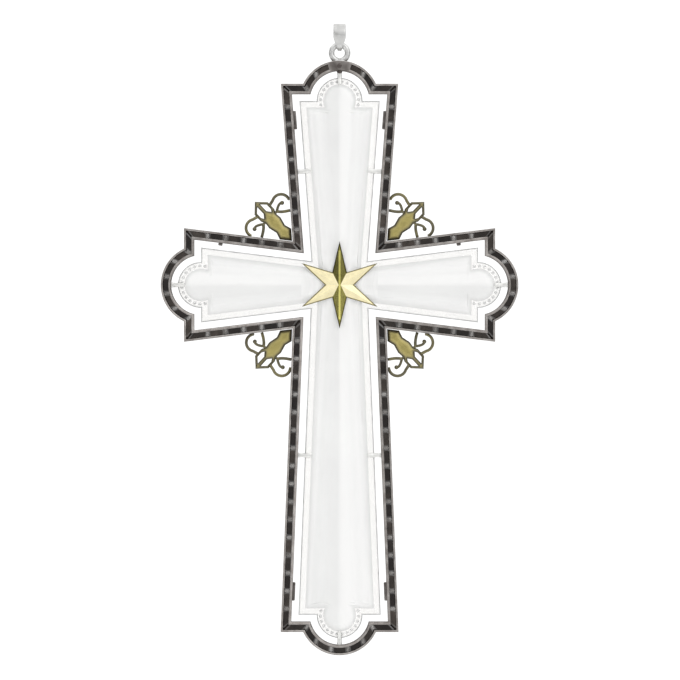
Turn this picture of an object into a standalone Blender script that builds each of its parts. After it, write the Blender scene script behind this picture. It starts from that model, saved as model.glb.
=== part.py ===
"""A cross ornament that hangs from a folded bail, in metres.

A crystal cross, carved with reeds that fan out from its centre, is held by claws inside an
open frame of blackened silver. The frame's front is a channel set with dark oblong stones.
A gold star lies on the crossing, and a gold fleuron stands in each outer angle of the frame.

The cross is drawn flat about its own centre: x to the right, y up and z towards the front.
An empty stands it upright, so that +Z is up and the front faces -Y. The origin of the whole
is the inside top of the bail, where a cord or hook would hold it.
"""

import math
from typing import NamedTuple

import bmesh
import bpy
from mathutils import Matrix, Vector

MM = 0.001

# Outline of the frame, as half widths across an arm and distances along it from the centre
UPRIGHT_ROOT = 8.9 * MM
CROSSBAR_ROOT = 8.25 * MM
UPPER_SHOULDER = 38.2 * MM
UPPER_CORNER = 11.15 * MM
LOWER_SHOULDER = 65.9 * MM
LOWER_CORNER = 11.2 * MM
SIDE_SHOULDER = 29.55 * MM
SIDE_CORNER = 10.8 * MM
LOBE_HALF_CHORD = 6.9 * MM
LOBE_RISE = 4.4 * MM
LOBE_LEAST_NECK = 1.0 * MM
LOBE_STEPS = 12

# Frame band and the channel in its front
BAND_WIDTH = 1.95 * MM
FRAME_DEPTH = 3.2 * MM
RIM_WIDTH = 0.3 * MM
CHANNEL_DEPTH = 0.9 * MM

# Stones in the channel
STONE_PITCH = 3.4 * MM
STONE_CLEARANCE = 0.05 * MM
STONE_GIRDLE = 0.45 * MM
STONE_CROWN = 0.3 * MM
STONE_BEVEL = 0.24 * MM
STONE_ARC_STEPS = 2

# Crystal cross: levels are heights above or below the middle of the frame's depth
CRYSTAL_GAP = 1.3 * MM
CRYSTAL_BACK = 1.2 * MM
CRYSTAL_EDGE_FRONT = 0.7 * MM
CRYSTAL_BEVEL_SLOPE = 0.32
VALLEY_FRONT = 1.1 * MM
REED_HEIGHT = 0.45 * MM
CENTRE_REED_AT_STAR = 0.12 * MM
CENTRE_REED_AT_SHOULDER = 3.1 * MM
SIDE_REED_AT_STAR = 2.7 * MM
SIDE_REED_AT_SHOULDER = 6.2 * MM
REED_STEPS = 6
FAN_OVERLAP = 0.3 * MM

# Claws that hold the crystal, and small lugs on the frame's inner wall
CLAW_WIDTH = 0.85 * MM
CLAW_THICKNESS = 0.35 * MM
CLAW_BACK_THICKNESS = 0.25 * MM
CLAW_HOLD = 1.35 * MM
CLAW_CLEARANCE = 0.1 * MM
UPPER_CLAW_PAIR = 21.5 * MM
LOWER_CLAW_PAIR = 32.3 * MM
LUG_LENGTH = 3.5 * MM
LUG_PROUD = 0.5 * MM
LUG_DEPTH = 1.0 * MM
LUG_SINK = 0.3 * MM
UPPER_LUG_PAIR = 31.3 * MM
LOWER_LUG_PAIR = 58.2 * MM
SIDE_LUG = 22.6 * MM
SIDE_LUG_LENGTH = 0.8 * MM

# Star
STAR_RADIUS = 8.3 * MM
STAR_WAIST = 2.75 * MM
STAR_RIM = 0.25 * MM
STAR_HEIGHT = 1.4 * MM
STAR_POINTS = 6
STAR_CLEARANCE = 0.1 * MM

# Fleurons, measured outward from the frame's outer angle and across the axis
SOLDER_GAP = 0.1 * MM
FLEURON_THICKNESS = 1.1 * MM
STEM_FOOT_HALF_WIDTH = 1.5 * MM
STEM_HALF_WIDTH = 1.1 * MM
STEM_NARROWEST_AT = 3.3 * MM
BODY_WIDEST_AT = 4.9 * MM
BODY_HALF_WIDTH = 1.5 * MM
WAIST_AT = 6.15 * MM
WAIST_HALF_WIDTH = 1.35 * MM
SCROLL_JUNCTION_AT = 6.25 * MM
SCROLL_JUNCTION_ACROSS = 1.78 * MM
LEAF_FROM = 6.9 * MM
LEAF_HALF_WIDTH = 1.75 * MM
LEAF_TIP = 10.45 * MM
LEAF_WALL = 0.5 * MM
LEAF_RIB_HALF = 0.38 * MM
SCROLL_WIRE = 0.57 * MM
SCROLL_RADIUS = 1.65 * MM
SCROLL_ALONG = 6.85 * MM
SCROLL_ACROSS = 3.45 * MM
SCROLL_SPRING_AT = 8.0 * MM
SCROLL_START = math.radians(-30)
SCROLL_STEPS = 8
CURL_WIRE = 0.5 * MM
CURL_BEND = 0.4 * MM
CURL_STEPS = 6
CURL_BALL = 0.4 * MM

# Ring on the frame's top, and the bail linked through it
RING_WIRE = 1.15 * MM
RING_HOLE_RADIUS = 0.95 * MM
RING_SINK = 0.6 * MM
RING_STEPS = 24
RING_WIRE_STEPS = 8
LINK_GAP = 0.15 * MM
BAIL_INSIDE_HEIGHT = 4.3 * MM
BAIL_EYE_RADIUS = 1.5 * MM
BAIL_THICKNESS = 0.45 * MM
BAIL_TOP_WIDTH = 2.35 * MM
BAIL_FOOT_WIDTH = 0.8 * MM
BAIL_TAPER_FROM = 2.2 * MM
BAIL_EYE_STEPS = 16
BAIL_FOOT_STEPS = 8

# Places that follow from the sizes above
RING_CENTRE_RADIUS = RING_HOLE_RADIUS + RING_WIRE / 2
RING_OUTER_RADIUS = RING_HOLE_RADIUS + RING_WIRE
RING_CENTRE_DROP = BAIL_INSIDE_HEIGHT - LINK_GAP + RING_HOLE_RADIUS
UPPER_APEX = UPPER_SHOULDER + LOBE_RISE
CROSS_DROP = RING_CENTRE_DROP + RING_OUTER_RADIUS - RING_SINK + UPPER_APEX
FRAME_FRONT = FRAME_DEPTH / 2
CHANNEL_FLOOR = FRAME_FRONT - CHANNEL_DEPTH
CRYSTAL_INSET = BAND_WIDTH + CRYSTAL_GAP
CLAW_ROOT = 0.6 * RIM_WIDTH


class Arm(NamedTuple):
    """One arm of the cross: its turn from +x, and the half widths and reaches that shape it."""

    name: str
    turn: float
    root: float
    root_reach: float
    shoulder: float
    corner: float


RIGHT = Arm("right", 0.0, CROSSBAR_ROOT, UPRIGHT_ROOT, SIDE_SHOULDER, SIDE_CORNER)
UPPER = Arm("upper", math.pi / 2, UPRIGHT_ROOT, CROSSBAR_ROOT, UPPER_SHOULDER, UPPER_CORNER)
LEFT = Arm("left", math.pi, CROSSBAR_ROOT, UPRIGHT_ROOT, SIDE_SHOULDER, SIDE_CORNER)
LOWER = Arm("lower", 3 * math.pi / 2, UPRIGHT_ROOT, CROSSBAR_ROOT, LOWER_SHOULDER, LOWER_CORNER)
ARMS = (RIGHT, UPPER, LEFT, LOWER)


def clear_scene():
    """Start from an empty scene."""
    for item in list(bpy.data.objects):
        bpy.data.objects.remove(item)


def make_material(name, color, roughness, metallic):
    """A plain material with the piece's colour, roughness and metallic value."""
    material = bpy.data.materials.new(name)
    material.use_nodes = True
    shader = material.node_tree.nodes["Principled BSDF"]
    shader.inputs["Base Color"].default_value = (*color, 1.0)
    shader.inputs["Roughness"].default_value = roughness
    shader.inputs["Metallic"].default_value = metallic
    return material


def add_object(name, mesh, collection, parent=None, material=None):
    """Put a mesh in the scene as a named object."""
    item = bpy.data.objects.new(name, mesh)
    collection.objects.link(item)
    item.parent = parent
    if material is not None:
        mesh.materials.clear()
        mesh.materials.append(material)
    return item


def mesh_from_bmesh(name, bm):
    """Turn a bmesh into a mesh with its faces pointing out."""
    bmesh.ops.recalc_face_normals(bm, faces=bm.faces)
    mesh = bpy.data.meshes.new(name)
    bm.to_mesh(mesh)
    bm.free()
    return mesh


def mesh_from_curve(name, curve):
    """Turn a curve into a closed mesh, its caps welded to its sides."""
    guide = bpy.data.objects.new(name, curve)
    bpy.context.scene.collection.objects.link(guide)
    evaluated = guide.evaluated_get(bpy.context.evaluated_depsgraph_get())
    mesh = bpy.data.meshes.new_from_object(evaluated)
    bpy.data.objects.remove(guide)
    bm = bmesh.new()
    bm.from_mesh(mesh)
    bmesh.ops.remove_doubles(bm, verts=bm.verts, dist=0.001 * MM)
    return mesh_from_bmesh(name, bm)


def add_loop(curve, points):
    """Add one closed straight-sided loop through the given flat points to a curve."""
    spline = curve.splines.new("POLY")
    spline.points.add(len(points) - 1)
    for target, point in zip(spline.points, points):
        target.co = (point[0], point[1], 0.0, 1.0)
    spline.use_cyclic_u = True


def flat_mesh(name, loops, low, high):
    """A flat outline, with any holes, extruded from one height to another."""
    curve = bpy.data.curves.new(name, "CURVE")
    curve.dimensions = "2D"
    curve.fill_mode = "BOTH"
    curve.extrude = (high - low) / 2
    for loop in loops:
        add_loop(curve, loop)
    mesh = mesh_from_curve(name, curve)
    mesh.transform(Matrix.Translation((0, 0, (low + high) / 2)))
    return mesh


def wire_mesh(name, points, diameter):
    """A squared wire of the given width and height along flat points."""
    runs = [(after - before).normalized() for before, after in zip(points, points[1:])]
    left = []
    right = []
    for point, run_in, run_out in zip(points, [runs[0], *runs], [*runs, runs[-1]]):
        mitre = (run_in.orthogonal() + run_out.orthogonal()).normalized()
        reach = diameter / 2 / mitre.dot(run_in.orthogonal())
        left.append(point + mitre * reach)
        right.append(point - mitre * reach)
    return flat_mesh(name, [left + right[::-1]], -diameter / 2, diameter / 2)


def loft_mesh(name, rings):
    """A closed solid through rings of equally many points, with a flat cap at each end."""
    bm = bmesh.new()
    rows = [[bm.verts.new(point) for point in ring] for ring in rings]
    count = len(rings[0])
    for lower, upper in zip(rows, rows[1:]):
        for index in range(count):
            after = (index + 1) % count
            bm.faces.new((lower[index], lower[after], upper[after], upper[index]))
    bm.faces.new(rows[0])
    bm.faces.new(rows[-1])
    return mesh_from_bmesh(name, bm)


def combine(target, mesh, operation):
    """Unite a mesh with an object, or cut or keep only what it covers."""
    tool = bpy.data.objects.new("cutter", mesh)
    bpy.data.collections["cutters"].objects.link(tool)
    tool.parent = target.parent
    tool.hide_render = True
    tool.display_type = "WIRE"
    modifier = target.modifiers.new("combine", "BOOLEAN")
    modifier.operation = operation
    modifier.solver = "EXACT"
    modifier.object = tool
    evaluated = target.evaluated_get(bpy.context.evaluated_depsgraph_get())
    result = bpy.data.meshes.new_from_object(evaluated)
    target.modifiers.clear()
    target.data = result
    bpy.data.objects.remove(tool)


def shade_smooth(item, angle=35):
    """Shade an object's round surfaces smooth and keep its edges sharp."""
    item.data.shade_smooth()
    item.data.set_sharp_from_angle(angle=math.radians(angle))


def on_arm(arm, along, across):
    """The point at a distance along an arm and to the left of its axis, seen outward."""
    return Matrix.Rotation(arm.turn, 2) @ Vector((along, across))


def side_line(arm, side, inset):
    """Two points of an arm's straight side, moved inward. Side is +1 left and -1 right."""
    start = Vector((arm.root_reach, side * arm.root))
    end = Vector((arm.shoulder, side * arm.corner))
    run = (end - start).normalized()
    inward = Vector((run.y, -run.x)) * side * inset
    return on_arm(arm, *(start + inward)), on_arm(arm, *(end + inward))


def meet(first, second):
    """Where two lines, each given by two points, cross."""
    origin, run = first[0], first[1] - first[0]
    other, other_run = second[0], second[1] - second[0]
    share = (other - origin).cross(other_run) / run.cross(other_run)
    return origin + run * share


def inner_angle(arm, side, inset):
    """The corner that an arm's side makes with the next arm, moved inward."""
    neighbour = ARMS[(ARMS.index(arm) + side) % len(ARMS)]
    return meet(side_line(arm, side, inset), side_line(neighbour, -side, inset))


def end_corner(arm, side, inset):
    """The square corner between an arm's side and its shoulder, moved inward."""
    reach = arm.shoulder - inset
    shoulder = (on_arm(arm, reach, 0), on_arm(arm, reach, arm.corner))
    return meet(side_line(arm, side, inset), shoulder)


def lobe_arc(arm, inset, steps):
    """The round lobe at an arm's end, moved inward, from its right shoulder to its left."""
    open_square = LOBE_HALF_CHORD ** 2 - 2 * LOBE_RISE * inset
    half_chord = math.sqrt(max(open_square, LOBE_LEAST_NECK ** 2))
    radius = (half_chord ** 2 + LOBE_RISE ** 2) / (2 * LOBE_RISE)
    centre = arm.shoulder - inset + LOBE_RISE - radius
    half_angle = math.atan2(half_chord, radius - LOBE_RISE)
    points = []
    for step in range(steps + 1):
        angle = half_angle * (2 * step / steps - 1)
        points.append(on_arm(arm, centre + radius * math.cos(angle), radius * math.sin(angle)))
    return points


def cross_outline(inset, steps=LOBE_STEPS):
    """The outline of the whole cross, moved inward, anticlockwise as seen from the front."""
    points = []
    for arm in ARMS:
        points.append(inner_angle(arm, -1, inset))
        points.append(end_corner(arm, -1, inset))
        points.extend(lobe_arc(arm, inset, steps))
        points.append(end_corner(arm, 1, inset))
    return points


def at_level(points, level):
    """Flat points lifted to one height."""
    return [Vector((point.x, point.y, level)) for point in points]


def claw_mesh(foot, inward):
    """A claw from the frame's inner wall at a foot point, over the gap and both crystal faces."""
    edge = CRYSTAL_GAP - CLAW_CLEARANCE
    tip = CRYSTAL_GAP + CLAW_HOLD
    edge_level = CRYSTAL_EDGE_FRONT + CLAW_CLEARANCE
    tip_level = edge_level + CLAW_HOLD * CRYSTAL_BEVEL_SLOPE
    back_level = -CRYSTAL_BACK - CLAW_CLEARANCE
    outline = [
        (-CLAW_ROOT, back_level - CLAW_BACK_THICKNESS),
        (tip, back_level - CLAW_BACK_THICKNESS),
        (tip, back_level),
        (edge, back_level),
        (edge, edge_level),
        (CRYSTAL_GAP, edge_level),
        (tip, tip_level),
        (tip, tip_level + CLAW_THICKNESS),
        (CRYSTAL_GAP, edge_level + CLAW_THICKNESS),
        (-CLAW_ROOT, edge_level + CLAW_THICKNESS),
    ]
    mesh = flat_mesh("claw", [outline], -CLAW_WIDTH / 2, CLAW_WIDTH / 2)
    across = Vector((0, 0, 1)).cross(inward.to_3d())
    turn = Matrix((inward.to_3d(), (0, 0, 1), -across)).transposed().to_4x4()
    mesh.transform(Matrix.Translation(foot.to_3d()) @ turn)
    return mesh


def inner_wall(arm, side, reach):
    """The point of the frame's inner wall at a distance along an arm, and its inward normal."""
    start, end = side_line(arm, side, BAND_WIDTH)
    level = (on_arm(arm, reach, 0), on_arm(arm, reach, arm.corner))
    run = (end - start).normalized()
    return meet((start, end), level), Vector((run.y, -run.x)) * side, run


def lug_mesh(arm, side, reach, length):
    """A small bar along the frame's inner wall."""
    foot, inward, run = inner_wall(arm, side, reach)
    depth = LUG_PROUD + LUG_SINK
    bm = bmesh.new()
    bmesh.ops.create_cube(bm, size=1.0)
    bmesh.ops.scale(bm, verts=bm.verts, vec=(length, depth, LUG_DEPTH))
    turn = Matrix((run.to_3d(), inward.to_3d(), (0, 0, 1))).transposed().to_4x4()
    place = foot + inward * (LUG_PROUD - LUG_SINK) / 2
    bmesh.ops.transform(bm, verts=bm.verts, matrix=Matrix.Translation(place.to_3d()) @ turn)
    return mesh_from_bmesh("lug", bm)


def ring_mesh():
    """The round wire ring soldered to the top of the frame, seen open from the front."""
    bpy.ops.mesh.primitive_torus_add(
        major_radius=RING_CENTRE_RADIUS,
        minor_radius=RING_WIRE / 2,
        major_segments=RING_STEPS,
        minor_segments=RING_WIRE_STEPS,
        location=(0, 0, 0),
    )
    torus = bpy.context.object
    mesh = torus.data.copy()
    bpy.data.objects.remove(torus)
    mesh.transform(Matrix.Translation((0, CROSS_DROP - RING_CENTRE_DROP, 0)))
    return mesh


def build_frame(collection, parent, material):
    """The open frame with its channel, and the claws, lugs and ring soldered to it."""
    band = flat_mesh("frame", [cross_outline(0), cross_outline(BAND_WIDTH)], -FRAME_FRONT, FRAME_FRONT)
    frame = add_object("frame", band, collection, parent)
    channel_walls = [cross_outline(RIM_WIDTH), cross_outline(BAND_WIDTH - RIM_WIDTH)]
    channel = flat_mesh("channel", channel_walls, CHANNEL_FLOOR, FRAME_FRONT + CHANNEL_DEPTH)
    combine(frame, channel, "DIFFERENCE")
    for arm in ARMS:
        apex = on_arm(arm, arm.shoulder + LOBE_RISE - BAND_WIDTH, 0)
        combine(frame, claw_mesh(apex, -apex.normalized()), "UNION")
    for arm, claw_reach, lug_reach in (
        (UPPER, UPPER_CLAW_PAIR, UPPER_LUG_PAIR),
        (LOWER, LOWER_CLAW_PAIR, LOWER_LUG_PAIR),
    ):
        for side in (-1, 1):
            foot, inward, _ = inner_wall(arm, side, claw_reach)
            combine(frame, claw_mesh(foot, inward), "UNION")
            combine(frame, lug_mesh(arm, side, lug_reach, LUG_LENGTH), "UNION")
    for arm, side in ((LEFT, -1), (RIGHT, 1)):
        combine(frame, lug_mesh(arm, side, SIDE_LUG, SIDE_LUG_LENGTH), "UNION")
    combine(frame, ring_mesh(), "UNION")
    frame.data.materials.clear()
    frame.data.materials.append(material)
    shade_smooth(frame)


def stone_run_mesh(name, outer, inner, cells):
    """Stones that touch end to end: a strip of cells, each with a bevelled crown."""
    base = CHANNEL_FLOOR + STONE_CLEARANCE
    bm = bmesh.new()
    outer_row = [bm.verts.new(point) for point in at_level(outer, base)]
    inner_row = [bm.verts.new(point) for point in at_level(inner, base)]
    faces = []
    for start, end in zip(cells, cells[1:]):
        corners = outer_row[start:end + 1] + inner_row[start:end + 1][::-1]
        faces.append(bm.faces.new(corners))
    raised = bmesh.ops.extrude_face_region(bm, geom=faces)["geom"]
    verts = [item for item in raised if isinstance(item, bmesh.types.BMVert)]
    tops = [item for item in raised if isinstance(item, bmesh.types.BMFace)]
    bmesh.ops.translate(bm, verts=verts, vec=(0, 0, STONE_GIRDLE))
    bmesh.ops.recalc_face_normals(bm, faces=bm.faces)
    bmesh.ops.inset_individual(
        bm, faces=tops, thickness=STONE_BEVEL, depth=STONE_CROWN, use_even_offset=True
    )
    return mesh_from_bmesh(name, bm)


def shortened(start, end, cut):
    """The stretch between two points with the same length cut from each end."""
    run = (end - start).normalized() * cut
    return start + run, end - run


def square_joints(outer, inner):
    """Split a straight run into stones whose joints are square to it, but for its mitred ends."""
    run = (outer[1] - outer[0]).normalized()
    starts = outer[0].lerp(inner[0], 0.5)
    ends = outer[1].lerp(inner[1], 0.5)
    length = (ends - starts).length
    count = max(1, round(length / STONE_PITCH))
    rows = []
    for row in (outer, inner):
        first = (starts - row[0]).dot(run)
        joints = [row[0] + run * (first + length * index / count) for index in range(1, count)]
        rows.append([row[0], *joints, row[1]])
    return rows


def build_side_stones(collection, parent, material):
    """A run of stones along each of the eight straight sides of the frame."""
    outer_inset = RIM_WIDTH + STONE_CLEARANCE
    inner_inset = BAND_WIDTH - RIM_WIDTH - STONE_CLEARANCE
    for arm in ARMS:
        for side in (-1, 1):
            rows = []
            for inset in (outer_inset, inner_inset):
                start = inner_angle(arm, side, inset)
                end = end_corner(arm, side, inset)
                rows.append(shortened(start, end, STONE_CLEARANCE))
            outer_row, inner_row = square_joints(*rows)
            name = f"stones_{arm.name}_arm_{side_name(arm, side)}"
            mesh = stone_run_mesh(name, outer_row, inner_row, range(len(outer_row)))
            add_object(name, mesh, collection, parent, material)


def side_name(arm, side):
    """What a person would call an arm's side: seen from the front, with the cross upright."""
    middle = on_arm(arm, 0, side)
    if abs(middle.x) > abs(middle.y):
        return "right_side" if middle.x > 0 else "left_side"
    return "top_side" if middle.y > 0 else "bottom_side"


def build_end_stones(collection, parent, material):
    """A run of stones round each arm's end: one on each shoulder and more along the lobe."""
    outer_inset = RIM_WIDTH + STONE_CLEARANCE
    inner_inset = BAND_WIDTH - RIM_WIDTH - STONE_CLEARANCE
    radius = (LOBE_HALF_CHORD ** 2 + LOBE_RISE ** 2) / (2 * LOBE_RISE)
    arc_length = 2 * radius * math.atan2(LOBE_HALF_CHORD, radius - LOBE_RISE)
    lobe_count = max(2, round(arc_length / STONE_PITCH))
    steps = lobe_count * STONE_ARC_STEPS
    for arm in ARMS:
        rows = []
        for inset in (outer_inset, inner_inset):
            arc = lobe_arc(arm, inset, steps)
            right = shortened(end_corner(arm, -1, inset), arc[0], STONE_CLEARANCE)[0]
            left = shortened(end_corner(arm, 1, inset), arc[-1], STONE_CLEARANCE)[0]
            rows.append([right, *arc, left])
        last = len(rows[0]) - 1
        cells = [0, *range(1, last, STONE_ARC_STEPS), last]
        name = f"stones_{arm.name}_end"
        mesh = stone_run_mesh(name, rows[0], rows[1], cells)
        add_object(name, mesh, collection, parent, material)


def reed_section(share):
    """Half a fan's cross section, from the centre out, at a share of the way to the shoulder.

    Three reeds count from the axis: the centre one, a side one and the one under the bevel.
    """
    centre = CENTRE_REED_AT_STAR + share * (CENTRE_REED_AT_SHOULDER - CENTRE_REED_AT_STAR)
    side = SIDE_REED_AT_STAR + share * (SIDE_REED_AT_SHOULDER - SIDE_REED_AT_STAR)
    edges = [-centre, centre, side, 2 * side - centre]
    points = []
    for number, (low, high) in enumerate(zip(edges, edges[1:])):
        rise = REED_HEIGHT if number else REED_HEIGHT * min(1, centre / CENTRE_REED_AT_SHOULDER)
        first = REED_STEPS // 2 if number == 0 else 0
        for step in range(first, REED_STEPS):
            place = step / REED_STEPS
            level = VALLEY_FRONT + rise * math.sin(math.pi * place)
            points.append((low + (high - low) * place, level))
    points.append((edges[-1], VALLEY_FRONT))
    return points


def fan_mesh(arm):
    """A block whose front is the reeds that run from the star to past an arm's end."""
    floor = -2 * CRYSTAL_BACK
    rings = []
    for reach in (-FAN_OVERLAP, arm.shoulder + LOBE_RISE):
        half = reed_section(reach / arm.shoulder)
        across = [(-place, level) for place, level in half[:0:-1]] + half
        profile = [(across[0][0], floor), *across, (across[-1][0], floor)]
        rings.append([(*on_arm(arm, reach, place), level) for place, level in profile])
    return loft_mesh(f"fan_{arm.name}", rings)


def crystal_block_mesh():
    """The crystal's outline with its bevelled front edge, before the reeds are carved."""
    top_rise = VALLEY_FRONT + 1.5 * REED_HEIGHT - CRYSTAL_EDGE_FRONT
    top_inset = CRYSTAL_INSET + top_rise / CRYSTAL_BEVEL_SLOPE
    edge = cross_outline(CRYSTAL_INSET)
    rings = [
        at_level(edge, -CRYSTAL_BACK),
        at_level(edge, CRYSTAL_EDGE_FRONT),
        at_level(cross_outline(top_inset), CRYSTAL_EDGE_FRONT + top_rise),
    ]
    return loft_mesh("crystal_block", rings)


def build_crystal(collection, parent, material):
    """The crystal cross: four fans of reeds, kept only inside the bevelled block."""
    crystal = add_object("crystal_cross", fan_mesh(ARMS[0]), collection, parent)
    for arm in ARMS[1:]:
        combine(crystal, fan_mesh(arm), "UNION")
    combine(crystal, crystal_block_mesh(), "INTERSECT")
    crystal.data.materials.clear()
    crystal.data.materials.append(material)
    shade_smooth(crystal, 12)


def build_star(collection, parent, material):
    """The six-pointed star, with a ridge along each ray, over the crossing."""
    bm = bmesh.new()
    circle = bmesh.ops.create_circle(
        bm, cap_ends=True, radius=STAR_RADIUS, segments=2 * STAR_POINTS
    )["verts"]
    for vert in circle:
        number = round(math.atan2(vert.co.y, vert.co.x) / math.pi * STAR_POINTS)
        angle = math.pi / 2 + number * math.pi / STAR_POINTS
        radius = STAR_WAIST if number % 2 else STAR_RADIUS
        vert.co = (radius * math.cos(angle), radius * math.sin(angle), 0)
    raised = bmesh.ops.extrude_face_region(bm, geom=bm.faces[:])["geom"]
    verts = [item for item in raised if isinstance(item, bmesh.types.BMVert)]
    tops = [item for item in raised if isinstance(item, bmesh.types.BMFace)]
    bmesh.ops.translate(bm, verts=verts, vec=(0, 0, STAR_RIM))
    middle = bmesh.ops.poke(bm, faces=tops)["verts"]
    bmesh.ops.translate(bm, verts=middle, vec=(0, 0, STAR_HEIGHT - STAR_RIM))
    star = add_object("star", mesh_from_bmesh("star", bm), collection, parent, material)
    star.location.z = VALLEY_FRONT + REED_HEIGHT + STAR_CLEARANCE


def leaf_opening(side):
    """The opening on one side of the leaf's rib."""
    wall = LEAF_HALF_WIDTH - LEAF_WALL
    tip = LEAF_TIP - LEAF_WALL * math.sqrt(2)
    points = [
        (LEAF_FROM, (LEAF_RIB_HALF + 2 * wall) / 3),
        (LEAF_FROM + LEAF_WALL, wall),
        (tip - wall, wall),
        (tip - LEAF_RIB_HALF, LEAF_RIB_HALF),
        (LEAF_FROM + 1.5 * LEAF_WALL, LEAF_RIB_HALF),
    ]
    return [(along, side * across) for along, across in points]


def scroll_wires(half_angle, side):
    """The wires of one scroll: the tie to the frame, the arc from the leaf and the curl."""
    along_frame = Vector((math.cos(half_angle), math.sin(half_angle)))
    off_frame = Vector((math.sin(half_angle), -math.cos(half_angle)))
    junction = Vector((SCROLL_JUNCTION_AT, SCROLL_JUNCTION_ACROSS))
    centre = Vector((SCROLL_ALONG, SCROLL_ACROSS))
    tie_foot = along_frame * junction.dot(along_frame) + off_frame * SOLDER_GAP
    tie = [tie_foot, junction + (junction - tie_foot).normalized() * SCROLL_WIRE]
    reach = centre.dot(off_frame) - SOLDER_GAP - SCROLL_WIRE / 2
    end = half_angle + math.asin(min(1, reach / SCROLL_RADIUS))
    arc = [Vector((SCROLL_SPRING_AT, LEAF_HALF_WIDTH - LEAF_WALL / 2))]
    for step in range(SCROLL_STEPS + 1):
        angle = SCROLL_START + (end - SCROLL_START) * step / SCROLL_STEPS
        arc.append(centre + SCROLL_RADIUS * Vector((math.cos(angle), math.sin(angle))))
    bend = centre + CURL_BEND * Vector((1, -0.7))
    curl_end = centre - CURL_BEND / 2 * off_frame
    curl = [Vector((WAIST_AT, WAIST_HALF_WIDTH / 2))]
    for step in range(CURL_STEPS + 1):
        share = step / CURL_STEPS
        curl.append(junction.lerp(bend, share).lerp(bend.lerp(curl_end, share), share))
    return [[Vector((point.x, side * point.y)) for point in path] for path in (tie, arc, curl)]


def ball_mesh(place, radius):
    """The small ball that ends a curl."""
    bm = bmesh.new()
    bmesh.ops.create_uvsphere(bm, u_segments=8, v_segments=6, radius=radius)
    bmesh.ops.translate(bm, verts=bm.verts, vec=place.to_3d())
    return mesh_from_bmesh("ball", bm)


def fleuron_mesh(name, half_angle, collection, parent):
    """A fleuron for an angle of the frame: stem, pointed leaf and a scroll on each side."""
    root = SOLDER_GAP / math.sin(half_angle)
    half = [
        (root + STEM_FOOT_HALF_WIDTH / math.tan(half_angle), STEM_FOOT_HALF_WIDTH),
        (STEM_NARROWEST_AT, STEM_HALF_WIDTH),
        (BODY_WIDEST_AT, BODY_HALF_WIDTH),
        (WAIST_AT, WAIST_HALF_WIDTH),
        (LEAF_FROM, LEAF_HALF_WIDTH),
        (LEAF_TIP - LEAF_HALF_WIDTH, LEAF_HALF_WIDTH),
    ]
    mirrored = [(along, -across) for along, across in half]
    outline = [(root, 0), *mirrored, (LEAF_TIP, 0), *reversed(half)]
    half_thick = FLEURON_THICKNESS / 2
    body = flat_mesh(name, [outline, leaf_opening(1), leaf_opening(-1)], -half_thick, half_thick)
    fleuron = add_object(name, body, collection, parent)
    for side in (-1, 1):
        tie, arc, curl = scroll_wires(half_angle, side)
        combine(fleuron, wire_mesh("tie", tie, SCROLL_WIRE), "UNION")
        combine(fleuron, wire_mesh("arc", arc, SCROLL_WIRE), "UNION")
        combine(fleuron, wire_mesh("curl", curl, CURL_WIRE), "UNION")
        combine(fleuron, ball_mesh(curl[-1], CURL_BALL), "UNION")
    mesh = fleuron.data
    bpy.data.objects.remove(fleuron)
    return mesh


def build_fleurons(collection, parent, material):
    """A fleuron in each of the four outer angles of the frame, along the angle's middle."""
    for upright in (UPPER, LOWER):
        mesh = None
        for side in (-1, 1):
            corner = inner_angle(upright, side, 0)
            along_upright = (side_line(upright, side, 0)[1] - corner).normalized()
            crossbar = ARMS[(ARMS.index(upright) + side) % len(ARMS)]
            along_crossbar = (side_line(crossbar, -side, 0)[1] - corner).normalized()
            middle = along_upright + along_crossbar
            half_angle = along_upright.angle(along_crossbar) / 2
            name = f"fleuron_{upright.name}_{crossbar.name}"
            if mesh is None:
                mesh = fleuron_mesh(name, half_angle, collection, parent)
            fleuron = add_object(name, mesh, collection, parent, material)
            fleuron.location = (corner.x, corner.y, 0)
            fleuron.rotation_euler.z = math.atan2(middle.y, middle.x)
            shade_smooth(fleuron)


def bail_path():
    """The closed teardrop that the middle of the bail's strip follows, as height and depth."""
    eye_radius = BAIL_EYE_RADIUS + BAIL_THICKNESS / 2
    eye_height = -BAIL_EYE_RADIUS
    foot_inner = RING_WIRE / 2 + LINK_GAP
    foot_radius = foot_inner + BAIL_THICKNESS / 2
    foot_height = foot_inner - BAIL_INSIDE_HEIGHT
    lean = math.asin((eye_radius - foot_radius) / (eye_height - foot_height))
    points = []
    for step in range(BAIL_EYE_STEPS + 1):
        angle = -lean + (math.pi + 2 * lean) * step / BAIL_EYE_STEPS
        points.append((eye_height + eye_radius * math.sin(angle), eye_radius * math.cos(angle)))
    for step in range(BAIL_FOOT_STEPS + 1):
        angle = math.pi + lean + (math.pi - 2 * lean) * step / BAIL_FOOT_STEPS
        points.append((foot_height + foot_radius * math.sin(angle), foot_radius * math.cos(angle)))
    return points


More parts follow.
